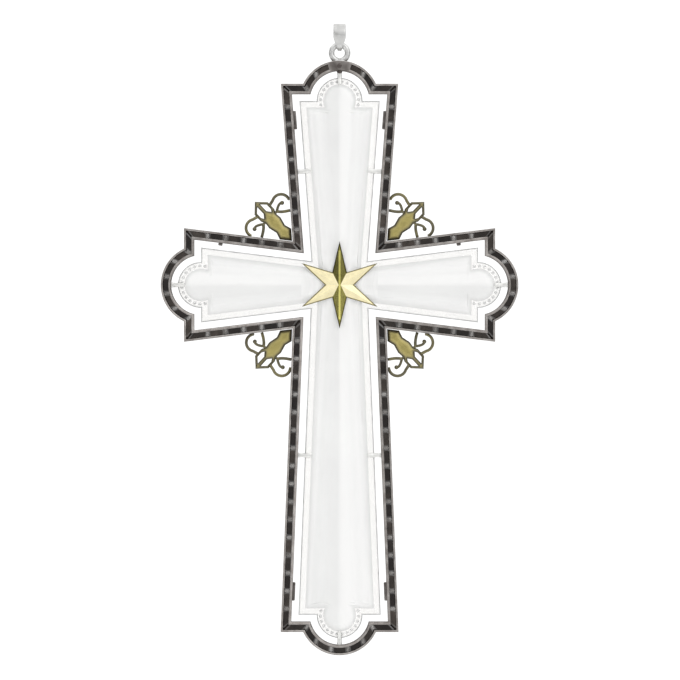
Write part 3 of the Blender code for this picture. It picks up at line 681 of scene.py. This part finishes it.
def build_top_plate(material):
    """The worn plate where the ring is soldered on, its dark rivet, and the knob under it."""
    bm = bmesh.new()
    bm.verts.layers.float.new("wear_and_shade")
    centre, radius, _ = lobe_circle(UPPER, 0)
    half_angle = TOP_PLATE_HALF_LENGTH / radius
    top = FRAME_FRONT + TOP_PLATE_PROUD
    low = FRAME_FRONT - 0.1 * MM
    profile = [(0.05 * MM, low), (0.16 * MM, top - 0.03 * MM), (0.4 * MM, top)]
    profile += [(BAND_WIDTH - inset, level) for inset, level in reversed(profile)]
    rings = []
    for step in range(TOP_PLATE_STEPS + 1):
        angle = half_angle * (2 * step / TOP_PLATE_STEPS - 1)
        end = min(1, (TOP_PLATE_STEPS / 2 - abs(step - TOP_PLATE_STEPS / 2)) / 2 + 0.2)
        ring = []
        for inset, level in profile:
            reach = radius - inset
            place = on_arm(UPPER, centre + reach * cos(angle), reach * sin(angle))
            ring.append((place.x, place.y, low + (level - low) * end))
        rings.append(ring)
    add_rings(bm, rings, False)
    set_layer(bm, 0, 0.45)
    middle = UPPER_APEX - BAND_WIDTH / 2
    below = UPPER_APEX - BAND_WIDTH - 0.2 * MM
    knobs = (
        ((0, middle, top), (0.42 * MM, 0.5 * MM, 0.12 * MM)),
        ((0, below, FRAME_FRONT - 0.45 * MM), (0.52 * MM, 0.3 * MM, 0.4 * MM)),
    )
    for place, size in knobs:
        add_ball(bm, 24, 14, size, Matrix.Translation(place))
    add_piece("frame_top_plate", bm, [material], 40)


def shortened(start, end, cut):
    """The stretch between two points with the same length cut from each end."""
    run = (end - start).normalized() * cut
    return start + run, end - run


def square_joints(outer, inner):
    """Split a straight run into stones whose joints are square to it, but for its mitred ends."""
    run = (outer[1] - outer[0]).normalized()
    starts = outer[0].lerp(inner[0], 0.5)
    ends = outer[1].lerp(inner[1], 0.5)
    length = (ends - starts).length
    count = max(1, round(length / STONE_PITCH))
    rows = []
    for row in (outer, inner):
        first = (starts - row[0]).dot(run)
        joints = [row[0] + run * (first + length * index / count) for index in range(1, count)]
        rows.append([row[0], *joints, row[1]])
    return rows


def side_name(arm, side):
    """What a person would call an arm's side: seen from the front, with the cross upright."""
    middle = on_arm(arm, 0, side)
    if abs(middle.x) > abs(middle.y):
        return "right_side" if middle.x > 0 else "left_side"
    return "top_side" if middle.y > 0 else "bottom_side"


def stone_runs():
    """Each run's node name with its rows of points and the points where its joints are."""
    outer_inset = RIM_WIDTH + STONE_CLEARANCE
    inner_inset = BAND_WIDTH - RIM_WIDTH - STONE_CLEARANCE
    centre, radius, half_angle = lobe_circle(UPPER, 0)
    steps = max(2, round(2 * radius * half_angle / STONE_PITCH)) * STONE_ARC_STEPS
    for arm in ARMS:
        for side in (-1, 1):
            rows = []
            for inset in (outer_inset, inner_inset):
                start = inner_angle(arm, side, inset)
                end = end_corner(arm, side, inset)
                rows.append(shortened(start, end, STONE_CLEARANCE))
            outer, inner = square_joints(*rows)
            yield f"stones_{arm.name}_arm_{side_name(arm, side)}", outer, inner, range(len(outer))
        rows = []
        for inset in (outer_inset, inner_inset):
            arc = lobe_arc(arm, inset, steps)
            right = shortened(end_corner(arm, -1, inset), arc[0], STONE_CLEARANCE)[0]
            left = shortened(end_corner(arm, 1, inset), arc[-1], STONE_CLEARANCE)[0]
            rows.append([right, *arc, left])
        last = len(rows[0]) - 1
        yield f"stones_{arm.name}_end", rows[0], rows[1], [0, *range(1, last, STONE_ARC_STEPS), last]


def along_row(points, share):
    """The point at a share of the way through a row of points."""
    place = share * (len(points) - 1)
    index = min(int(place), len(points) - 2)
    return points[index].lerp(points[index + 1], place - index)


def add_stone(bm, outer, inner):
    """One step-cut stone between two short rows of points: girdle, two crown steps and table."""
    length = sum((after - before).length for before, after in zip(outer, outer[1:]))
    width = (outer[0] - inner[0]).length
    base = CHANNEL_FLOOR + STONE_CLEARANCE
    steps = [
        (0.03 * MM, 0, 0.16 * MM, base),
        (0.03 * MM, 0, 0.16 * MM, base + STONE_GIRDLE),
        (0.22 * MM, 0.08 * MM, 0.16 * MM, base + STONE_GIRDLE + 0.2 * MM),
        (0.55 * MM, 0.15 * MM, 0.12 * MM, base + STONE_GIRDLE + STONE_CROWN),
    ]
    rings = []
    for end_cut, side_cut, corner, level in steps:
        end = min(end_cut / length, 0.4)
        side = side_cut / width
        cut_along = corner / length
        cut_across = corner / width
        edge = [end + cut_along, 0.5, 1 - end - cut_along]
        corners = [(share, side) for share in edge]
        corners += [(1 - end, side + cut_across), (1 - end, 1 - side - cut_across)]
        corners += [(share, 1 - side) for share in reversed(edge)]
        corners += [(end, 1 - side - cut_across), (end, side + cut_across)]
        ring = []
        for along, across in corners:
            point = along_row(outer, along).lerp(along_row(inner, along), across)
            ring.append((point.x, point.y, level))
        rings.append(ring)
    add_rings(bm, rings, False)


def add_joint(bm, outer, inner):
    """A low silver bar across the channel at a joint, and a round grain on its middle."""
    middle = outer.lerp(inner, 0.5)
    across = (outer - inner).normalized()
    turn = Matrix.Rotation(atan2(across.y, across.x), 4, "Z")
    sizes = (
        ((JOINT_BAR_WIDTH, JOINT_BAR_LENGTH, GRAIN_HEIGHT), FRAME_FRONT - 0.27 * MM),
        ((GRAIN_RADIUS, GRAIN_RADIUS, GRAIN_HEIGHT), FRAME_FRONT - 0.17 * MM),
    )
    for size, level in sizes:
        place = Matrix.Translation((middle.x, middle.y, level))
        add_ball(bm, 16, 10, size, place @ turn)


def build_stones(stone, silver):
    """The stones of each run, and the silver prongs at each joint between two of them."""
    joints = bmesh.new()
    count = 0
    for name, outer, inner, cells in stone_runs():
        bm = bmesh.new()
        bm.verts.layers.float.new("wear_and_shade")
        for start, end in zip(cells, cells[1:]):
            count += 1
            before = len(bm.verts)
            add_stone(bm, outer[start:end + 1], inner[start:end + 1])
            set_layer(bm, before, (count * STONE_SHADE_STEP % 1) ** 2)
        piece = add_piece(f"{name}_cut", bm, [stone])
        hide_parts(name)
        for joint in cells[1:-1]:
            add_joint(joints, outer[joint], inner[joint])
    add_piece("stone_joints", joints, [silver], 60)


def reed_level(share, across):
    """The field's height above its valleys, at a share of an arm's length and across it."""
    centre = CENTRE_REED_AT_STAR + share * (CENTRE_REED_AT_SHOULDER - CENTRE_REED_AT_STAR)
    side = SIDE_REED_AT_STAR + share * (SIDE_REED_AT_SHOULDER - SIDE_REED_AT_STAR)
    edges = [-centre, centre, side, 2 * side - centre]
    for low, high in zip(edges, edges[1:]):
        if low <= across < high:
            rise = REED_HEIGHT
            if low < centre:
                rise *= min(1, centre / CENTRE_REED_AT_SHOULDER)
            return rise * sin(pi * (across - low) / (high - low)) ** 1.5
    return 0.0


def field_level(point):
    """The height of the carved field at a flat point: the tallest of the four arms' reeds."""
    tallest = 0.0
    for arm in ARMS:
        place = Matrix.Rotation(-arm.turn, 2) @ point
        if place.x > -FAN_OVERLAP:
            share = max(0, place.x / arm.shoulder)
            tallest = max(tallest, reed_level(share, abs(place.y)))
    return tallest


def build_crystal(field, polished, shaded_edge):
    """The crystal cross: a carved field of reeds in a polished bevel, with a painted grey band of
    shade round the field and its front chamfer painted grey as a dark edge line.
    """
    border_inset = CRYSTAL_INSET + CRYSTAL_BEVEL_WIDTH
    chamfer = CRYSTAL_CHAMFER
    levels = [
        (CRYSTAL_INSET + chamfer / 2, -CRYSTAL_BACK),
        (CRYSTAL_INSET, chamfer / 2 - CRYSTAL_BACK),
        (CRYSTAL_INSET, CRYSTAL_EDGE_FRONT - chamfer / 2),
        (CRYSTAL_INSET + chamfer, CRYSTAL_EDGE_FRONT),
        (border_inset, VALLEY_FRONT),
    ]
    bm = bmesh.new()
    wear_shade_layer = bm.verts.layers.float.new("wear_and_shade")
    outlines = [at_level(cross_outline(inset), level) for inset, level in levels]
    rows = [[bm.verts.new(point) for point in outline] for outline in outlines]
    bm.faces.new(rows[0]).material_index = 1
    for number, (lower, upper) in enumerate(zip(rows, rows[1:])):
        for face in join_rows(bm, lower, upper):
            # The front chamfer takes the grey of the painted dark edge line.
            face.material_index = 2 if number == 2 else 1
    border = [point.to_2d() for point in outlines[-1]]
    coarse = [cross_outline(border_inset, BORDER_STEPS)]
    rim = cross_outline(border_inset + FIELD_RIM)
    points = list(border) + list(rim)
    high = (SIDE_SHOULDER + LOBE_RISE, UPPER_APEX)
    low = (-high[0], -LOWER_SHOULDER - LOBE_RISE)
    for place in staggered(low, high, FIELD_GRID):
        if min(abs(place.x), abs(place.y)) < LOWER_CORNER and inside(place, [border]):
            points.append(place)
    edges = []
    for first, count in ((0, len(border)), (len(border), len(rim))):
        edges += [(first + index, first + (index + 1) % count) for index in range(count)]
    flat, _, faces, _, _, _ = delaunay_2d_cdt(points, edges, [], INSIDE_ONLY, MERGE_REACH)
    verts = []
    for index, point in enumerate(flat):
        if index < len(border):
            verts.append(rows[-1][index])
            continue
        reach = edge_distance(point, coarse)
        swell = min(1, reach / FIELD_EASE)
        level = VALLEY_FRONT + field_level(point) * swell * swell * (3 - 2 * swell)
        vert = bm.verts.new((point.x, point.y, level))
        # Points near the border are marked for the grey band of painted shade.
        vert[wear_shade_layer] = min(1, reach / FIELD_RIM)
        verts.append(vert)
    for face in faces:
        bm.faces.new([verts[index] for index in face])
    before = len(bm.verts)
    level = CRYSTAL_EDGE_FRONT + BORDER_BEAD_AT * (VALLEY_FRONT - CRYSTAL_EDGE_FRONT)
    for arm in ARMS:
        arc = lobe_arc(arm, CRYSTAL_INSET + BORDER_BEAD_AT * CRYSTAL_BEVEL_WIDTH, BORDER_BEADS)
        for place in at_level(arc, level):
            add_ball(bm, 12, 8, BORDER_BEAD_SIZE, Matrix.Translation(place))
    set_layer(bm, before, 1.0)
    piece = add_piece("crystal_cross_carved", bm, [field, polished, shaded_edge], 30)
    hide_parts("crystal_cross")


def star_ring(scale, level):
    """The star's outline, scaled about its middle, at a height above its back."""
    points = []
    for corner in range(2 * STAR_POINTS):
        radius = scale * (STAR_WAIST if corner % 2 else STAR_RADIUS)
        angle = pi / 2 + pi * corner / STAR_POINTS
        points.append((radius * cos(angle), radius * sin(angle), STAR_BACK + level))
    return points


def build_star(material, deep):
    """The gold star: ridged rays whose rim is painted dark as a fine line of shade, the four slanting
    ones in a paler gold as a painted highlight and the two upright ones of deeper gold.
    """
    bm = bmesh.new()
    wear_shade_layer = bm.verts.layers.float.new("wear_and_shade")
    rows = []
    # The rim and its outer facet are painted dark as a fine line of shade; the inner facets and the
    # middle are bright.
    for scale, wear_and_shade in ((1, 0.0), (1, 0.0), (STAR_EDGE_OUTER, 0.1), (STAR_EDGE_INNER, 1.0)):
        level = STAR_RIM + STAR_HEIGHT * (1 - scale) if rows else 0
        row = [bm.verts.new(point) for point in star_ring(scale, level)]
        for vert in row:
            vert[wear_shade_layer] = wear_and_shade
        rows.append(row)
    top = bm.verts.new((0, 0, STAR_BACK + STAR_RIM + STAR_HEIGHT))
    top[wear_shade_layer] = 1.0
    bm.faces.new(rows[0])
    for lower, upper in zip(rows, rows[1:]):
        join_rows(bm, lower, upper)
    last = rows[-1]
    ridges = []
    for index in range(len(last)):
        bm.faces.new((last[index], last[(index + 1) % len(last)], top))
        if index % STAR_POINTS == 0:
            ridges.append(bm.edges.get((last[index], top)))
    bmesh.ops.bevel(bm, geom=ridges, offset=STAR_RIDGE, segments=1, affect="EDGES")
    for face in bm.faces:
        middle = face.calc_center_median()
        if abs(middle.x) < abs(middle.y) * tan(pi / STAR_POINTS):
            face.material_index = 1
    star = add_piece("star_relief", bm, [material, deep])
    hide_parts("star")


def leaf_opening(side):
    """The opening on one side of the leaf's rib."""
    wall = LEAF_HALF_WIDTH - LEAF_WALL
    tip = LEAF_TIP - LEAF_WALL * sqrt(2)
    points = [
        (LEAF_FROM, (LEAF_RIB_HALF + 2 * wall) / 3),
        (LEAF_FROM + LEAF_WALL, wall),
        (tip - wall, wall),
        (tip - LEAF_RIB_HALF, LEAF_RIB_HALF),
        (LEAF_FROM + 1.5 * LEAF_WALL, LEAF_RIB_HALF),
    ]
    return [Vector((along, side * across)) for along, across in points]


def bowed(start, middle, end, steps):
    """Points along a curve from start to end that bends towards a middle point."""
    shares = [step / steps for step in range(steps + 1)]
    return [start.lerp(middle, share).lerp(middle.lerp(end, share), share) for share in shares]


def scroll_wires(half_angle, side):
    """The wires of one scroll: the tie to the frame, the arc from the leaf and the curl."""
    along_frame = Vector((cos(half_angle), sin(half_angle)))
    off_frame = Vector((sin(half_angle), -cos(half_angle)))
    junction = Vector((SCROLL_JUNCTION_AT, SCROLL_JUNCTION_ACROSS))
    centre = Vector((SCROLL_ALONG, SCROLL_ACROSS))
    tie_foot = along_frame * junction.dot(along_frame) + off_frame * SOLDER_GAP
    tie_middle = tie_foot.lerp(junction, 0.5) + Vector((0, -TIE_BOW))
    tie = bowed(tie_foot, tie_middle, junction, TIE_STEPS)
    reach = centre.dot(off_frame) - SOLDER_GAP
    end = half_angle + asin(min(1, reach / SCROLL_RADIUS))
    arc = [Vector((SCROLL_SPRING_AT, LEAF_HALF_WIDTH - LEAF_WALL / 2))]
    for step in range(SCROLL_STEPS + 1):
        angle = SCROLL_START + (end - SCROLL_START) * step / SCROLL_STEPS
        arc.append(centre + SCROLL_RADIUS * Vector((cos(angle), sin(angle))))
    bend = centre + CURL_BEND * Vector((1, -0.7))
    curl_end = centre - CURL_BEND / 2 * off_frame
    curl = [Vector((WAIST_AT, WAIST_HALF_WIDTH / 2))]
    curl += bowed(junction, bend, curl_end, CURL_STEPS)
    return [[Vector((point.x, side * point.y)) for point in path] for path in (tie, arc, curl)]


def set_layer(bm, before, wear_and_shade):
    """Give the points added since a count the same value, which records wear on some pieces and
    painted shade on others.
    """
    layer = bm.verts.layers.float["wear_and_shade"]
    bm.verts.ensure_lookup_table()
    for vert in bm.verts[before:]:
        vert[layer] = wear_and_shade


def add_tube(bm, points, diameter, wear_and_shade):
    """A round wire along flat points, with rounded ends."""
    runs = directions(points)
    lead = diameter * WIRE_END_LENGTH
    places = [points[0] - runs[0] * lead, *points, points[-1] + runs[-1] * lead]
    runs = [runs[0], *runs, runs[-1]]
    shares = [WIRE_END_SHARE, *[1.0] * len(points), WIRE_END_SHARE]
    rings = []
    for point, run, share in zip(places, runs, shares):
        across = Vector((-run.y, run.x, 0))
        ring = []
        for side, rise in oval(WIRE_SIDES, 1, 1):
            spoke = across * side + Vector((0, 0, 1)) * rise
            ring.append(point.to_3d() + spoke * diameter / 2 * share)
        rings.append(ring)
    before = len(bm.verts)
    add_rings(bm, rings, False)
    set_layer(bm, before, wear_and_shade)


def staggered(low, high, step):
    """Flat points in rows a step apart between two corners, every other row half a step on."""
    for row in range(1, int((high[1] - low[1]) / step)):
        for column in range(1, int((high[0] - low[0]) / step)):
            yield Vector((low[0] + (column + 0.5 * (row % 2)) * step, low[1] + row * step))


def edge_distance(point, loops):
    """How far a flat point is from the nearest edge of some loops."""
    nearest = 1.0
    for loop in loops:
        for start, end in zip(loop, loop[1:] + loop[:1]):
            run = end - start
            share = max(0, min(1, (point - start).dot(run) / run.length_squared))
            nearest = min(nearest, (point - start - run * share).length)
    return nearest


def add_pillow(bm, outline, holes, half_thick, roundness):
    """A flat outline with holes, swollen on both faces from its edges inward."""
    loops = [outline, *holes]
    points = []
    edges = []
    for loop in loops:
        first = len(points)
        for start, end in zip(loop, loop[1:] + loop[:1]):
            pieces = max(1, round((end - start).length / FLEURON_GRID))
            points.extend(start.lerp(end, step / pieces) for step in range(pieces))
        edges += [(index, index + 1) for index in range(first, len(points) - 1)]
        edges.append((len(points) - 1, first))
    border = len(points)
    low = [min(point[axis] for point in outline) for axis in (0, 1)]
    high = [max(point[axis] for point in outline) for axis in (0, 1)]
    for place in staggered(low, high, FLEURON_GRID):
        if edge_distance(place, loops) > 0.4 * FLEURON_GRID:
            points.append(place)
    flat, _, faces, _, _, _ = delaunay_2d_cdt(points, edges, [], ALL_TRIANGLES, MERGE_REACH)
    heights = []
    for index, point in enumerate(flat):
        depth = 0 if index < border else min(1, edge_distance(point, loops) / roundness)
        heights.append(half_thick * sqrt(1 - (1 - depth) ** 2))
    kept = []
    for face in faces:
        middle = sum((flat[index] for index in face), Vector((0, 0))) / 3
        if inside(middle, loops):
            kept.append(face)
    layer = bm.verts.layers.float["wear_and_shade"]
    for sign in (1, -1):
        verts = []
        for point, height in zip(flat, heights):
            vert = bm.verts.new((point.x, point.y, sign * height))
            # The domed middle is painted bright as a highlight, the edges and the leaf's walls dull
            # as shade.
            vert[layer] = max(0, (height / half_thick) ** 2 - DULL_BELOW) / (1 - DULL_BELOW)
            verts.append(vert)
        for face in kept:
            bm.faces.new([verts[index] for index in face[::sign]])
    bmesh.ops.remove_doubles(bm, verts=bm.verts, dist=1e-6)
    bmesh.ops.delete(bm, geom=[vert for vert in bm.verts if not vert.link_faces], context="VERTS")


def inside(point, loops):
    """Whether a flat point is inside the first loop and outside the others."""
    crossings = 0
    for loop in loops:
        for start, end in zip(loop, loop[1:] + loop[:1]):
            if (start.y > point.y) != (end.y > point.y):
                share = (point.y - start.y) / (end.y - start.y)
                crossings += start.x + share * (end.x - start.x) > point.x
    return crossings % 2 == 1


def fleuron_bmesh(half_angle):
    """A fleuron for an angle of the frame: stem, pointed leaf and a scroll on each side."""
    root = SOLDER_GAP / sin(half_angle)
    half = [
        (root + STEM_FOOT_HALF_WIDTH / tan(half_angle), STEM_FOOT_HALF_WIDTH),
        (STEM_NARROWEST_AT, STEM_HALF_WIDTH),
        (BODY_WIDEST_AT, BODY_HALF_WIDTH),
        (WAIST_AT, WAIST_HALF_WIDTH),
        (LEAF_FROM, LEAF_HALF_WIDTH),
        (LEAF_TIP - LEAF_HALF_WIDTH, LEAF_HALF_WIDTH),
    ]
    mirrored = [(along, -across) for along, across in half]
    outline = [Vector(point) for point in [(root, 0), *mirrored, (LEAF_TIP, 0), *reversed(half)]]
    bm = bmesh.new()
    bm.verts.layers.float.new("wear_and_shade")
    holes = [leaf_opening(1), leaf_opening(-1)]
    add_pillow(bm, outline, holes, FLEURON_THICKNESS / 2, FLEURON_ROUNDNESS)
    # The wires and the curl's ball are painted in the dull gold, as shade.
    for side in (-1, 1):
        tie, arc, curl = scroll_wires(half_angle, side)
        add_tube(bm, tie, SCROLL_WIRE, 0.12)
        add_tube(bm, arc, SCROLL_WIRE, 0.12)
        add_tube(bm, curl, CURL_WIRE, 0.0)
        add_ball(bm, 20, 14, [CURL_BALL] * 3, Matrix.Translation(curl[-1].to_3d()))
    return bm


def build_fleurons(material):
    """A fleuron in each of the four outer angles of the frame, along the angle's middle."""
    for upright in (UPPER, LOWER):
        for side in (-1, 1):
            corner = inner_angle(upright, side, 0)
            along_upright = (side_line(upright, side, 0)[1] - corner).normalized()
            crossbar = ARMS[(ARMS.index(upright) + side) % len(ARMS)]
            along_crossbar = (side_line(crossbar, -side, 0)[1] - corner).normalized()
            middle = along_upright + along_crossbar
            name = f"fleuron_{upright.name}_{crossbar.name}"
            bm = fleuron_bmesh(along_upright.angle(along_crossbar) / 2)
            turn = Matrix.Rotation(atan2(middle.y, middle.x), 4, "Z")
            place = Matrix.Translation(corner.to_3d()) @ turn
            bmesh.ops.transform(bm, verts=bm.verts, matrix=place)
            piece = add_piece(f"{name}_relief", bm, [material], 60)
            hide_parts(name)


def bail_path():
    """The teardrop that the middle of the bail's strip follows: height, depth and outward turn."""
    eye_radius = BAIL_EYE_RADIUS + BAIL_THICKNESS / 2
    eye_height = -BAIL_EYE_RADIUS
    foot_inner = RING_WIRE / 2 + LINK_GAP
    foot_radius = foot_inner + BAIL_THICKNESS / 2
    foot_height = foot_inner - BAIL_INSIDE_HEIGHT
    lean = asin((eye_radius - foot_radius) / (eye_height - foot_height))
    arcs = [(eye_height, eye_radius, -lean, pi + lean, BAIL_EYE_STEPS)]
    arcs.append((foot_height, foot_radius, pi + lean, 2 * pi - lean, BAIL_FOOT_STEPS))
    points = []
    for height, radius, start, end, steps in arcs:
        for step in range(steps + 1):
            angle = start + (end - start) * step / steps
            place = Vector((height + radius * sin(angle), radius * cos(angle)))
            points.append((place, angle))
    path = []
    for (place, angle), (after, _) in zip(points, points[1:] + points[:1]):
        straight = (after - place).length > BAIL_EYE_RADIUS
        for step in range(BAIL_SIDE_STEPS if straight else 1):
            path.append((place.lerp(after, step / BAIL_SIDE_STEPS), angle))
    return path


def build_bail(material):
    """The bail: a tapered strip with rounded edges, its foot through the frame's ring."""
    foot = BAIL_INSIDE_HEIGHT + BAIL_THICKNESS / 2
    rings = []
    for place, angle in bail_path():
        share = (-place.x - BAIL_TAPER_FROM) / (foot - BAIL_TAPER_FROM)
        width = BAIL_TOP_WIDTH + (BAIL_FOOT_WIDTH - BAIL_TOP_WIDTH) * min(1, max(0, share))
        ring = []
        for side, rise in oval(BAIL_SIDES, 0.35, 0.6):
            lift = rise * BAIL_THICKNESS / 2
            height = place.x + lift * sin(angle)
            depth = place.y + lift * cos(angle)
            ring.append((side * width / 2, height + CROSS_DROP, -depth))
        rings.append(ring)
    bm = bmesh.new()
    add_rings(bm, rings, True)
    bail = add_piece("bail_strip", bm, [material], 60)
    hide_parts("bail")


def build_world():
    """Even white light all round, but for the dim patches. The camera itself sees plain white."""
    world = bpy.data.worlds.new("studio")
    bpy.context.scene.world = world
    world.use_nodes = True
    tree = world.node_tree
    tree.nodes.clear()
    place = tree.nodes.new("ShaderNodeTexCoord")
    light = TENT_STRENGTH
    for direction, full, end, dim in DIM_PATCHES:
        dot = tree.nodes.new("ShaderNodeVectorMath")
        dot.operation = "DOT_PRODUCT"
        dot.inputs[1].default_value = Vector(direction).normalized()
        tree.links.new(place.outputs["Generated"], dot.inputs[0])
        fade = {"From Min": end, "From Max": full, "To Min": 1.0, "To Max": dim}
        level = add_node(tree, "ShaderNodeMapRange", **fade)
        tree.links.new(dot.outputs["Value"], level.inputs["Value"])
        light = math_value(tree, "MULTIPLY", light, level.outputs["Result"])
    rays = tree.nodes.new("ShaderNodeLightPath")
    strength = math_value(tree, "MAXIMUM", rays.outputs["Is Camera Ray"], light)
    background = add_node(tree, "ShaderNodeBackground", Color=(1.0, 1.0, 1.0, 1.0))
    tree.links.new(strength, background.inputs["Strength"])
    output = tree.nodes.new("ShaderNodeOutputWorld")
    tree.links.new(background.outputs["Background"], output.inputs["Surface"])


def add_light(name, place, power):
    """A soft square light that looks at the middle of the cross."""
    data = bpy.data.lights.new(name, "AREA")
    data.shape = "SQUARE"
    data.size = LIGHT_SIZE
    data.energy = power
    light = bpy.data.objects.new(name, data)
    bpy.context.scene.collection.objects.link(light)
    light.location = place
    target = Vector((0, 0, VIEW_CENTRE_Z))
    light.rotation_euler = (target - light.location).to_track_quat("-Z", "Y").to_euler()


def build_studio():
    """The floor, the lights and the camera."""
    bpy.ops.mesh.primitive_plane_add(size=FLOOR_SIZE, location=(0, 0, FLOOR_LEVEL))
    floor = bpy.context.object
    floor.name = "floor"
    material, _ = new_material("floor_paper", Base_Color=(0.93, 0.93, 0.93, 1.0), Roughness=0.9)
    floor.data.materials.append(material)
    build_world()
    add_light("key", (0.4, -0.5, 0.3), 0.7)
    add_light("fill", (-0.4, -0.5, -0.3), 0.25)
    scene = bpy.context.scene
    scene.view_settings.view_transform = "Standard"
    data = bpy.data.cameras.new("camera")
    data.sensor_width = SENSOR_WIDTH
    data.lens = SENSOR_WIDTH * CAMERA_DISTANCE / VIEW_WIDTH
    camera = bpy.data.objects.new("camera", data)
    scene.collection.objects.link(camera)
    camera.location = (VIEW_CENTRE_X, -CAMERA_DISTANCE, VIEW_CENTRE_Z)
    camera.rotation_euler = (pi / 2, 0, 0)
    scene.camera = camera


build_studio()
dark_silver = worn_and_shaded_material(
    "blackened_silver",
    size=1.6 * MM,
    tones=[
        ((0.07, 0.058, 0.052), (0.17, 0.15, 0.14)),
        ((0.26, 0.235, 0.22), (0.50, 0.475, 0.455)),
    ],
    rough=(0.36, 0.52),
    grain=(0.22 * MM, 0.01 * MM),
    Metallic=1.0,
)
soft = (0.42, 0.56)
shiny = (0.4, 0.52)
claw_silver = brushed_silver("claw_silver", 0.7 * MM, (0.78, 0.78, 0.76), (0.95, 0.95, 0.93), soft)
joint_silver = brushed_silver(
    "joint_silver", 2.4 * MM, (0.19, 0.18, 0.17), (0.42, 0.41, 0.40), soft, (0.25 * MM, 0.006 * MM)
)
ring_silver = brushed_silver("ring_silver", 0.9 * MM, (0.66, 0.66, 0.65), (0.80, 0.80, 0.79), shiny)
bail_silver = brushed_silver("bail_silver", 0.9 * MM, (0.56, 0.56, 0.55), (0.70, 0.70, 0.69), shiny)
dark_stone = worn_and_shaded_material(
    "dark_stone",
    size=1.4 * MM,
    tones=[
        ((0.004, 0.002, 0.002), (0.012, 0.008, 0.006)),
        ((0.03, 0.024, 0.019), (0.07, 0.056, 0.047)),
    ],
    rough=(0.07, 0.18),
    IOR=1.75,
)
crystal_polished = worn_and_shaded_material(
    "crystal_polished",
    size=3 * MM,
    tones=[((0.93, 0.925, 0.91), (0.985, 0.975, 0.96))],
    rough=(0.06, 0.16),
    IOR=CRYSTAL_IOR,
    Transmission_Weight=0.85,
)
# Grey for the crystal's front chamfer: a painted dark edge line of shade.
crystal_edge_painted_shade = worn_and_shaded_material(
    "crystal_edge_painted_shade",
    size=1.5 * MM,
    tones=[((0.45, 0.455, 0.45), (0.72, 0.725, 0.72))],
    rough=(0.4, 0.6),
    IOR=CRYSTAL_IOR,
    Transmission_Weight=0.15,
)
build_band(dark_silver)
build_lugs(dark_silver)
build_claws(claw_silver)
build_ring(ring_silver)
build_top_plate(dark_silver)
build_stones(dark_stone, joint_silver)
build_crystal(crystal_field(), crystal_polished, crystal_edge_painted_shade)
# The four slanting rays take a paler gold as a painted highlight; the two upright rays keep the
# deeper gold.
build_star(
    gold("star_gold_painted_highlight", (0.91, 0.82, 0.52), (0.12, 0.10, 0.02), (0.14, 0.24)),
    gold("star_deep_gold", (0.92, 0.84, 0.26), (0.12, 0.10, 0.02), (0.16, 0.26)),
)
build_fleurons(gold("fleuron_gold", (0.63, 0.54, 0.20), (0.17, 0.155, 0.10), (0.34, 0.46)))
build_bail(bail_silver)
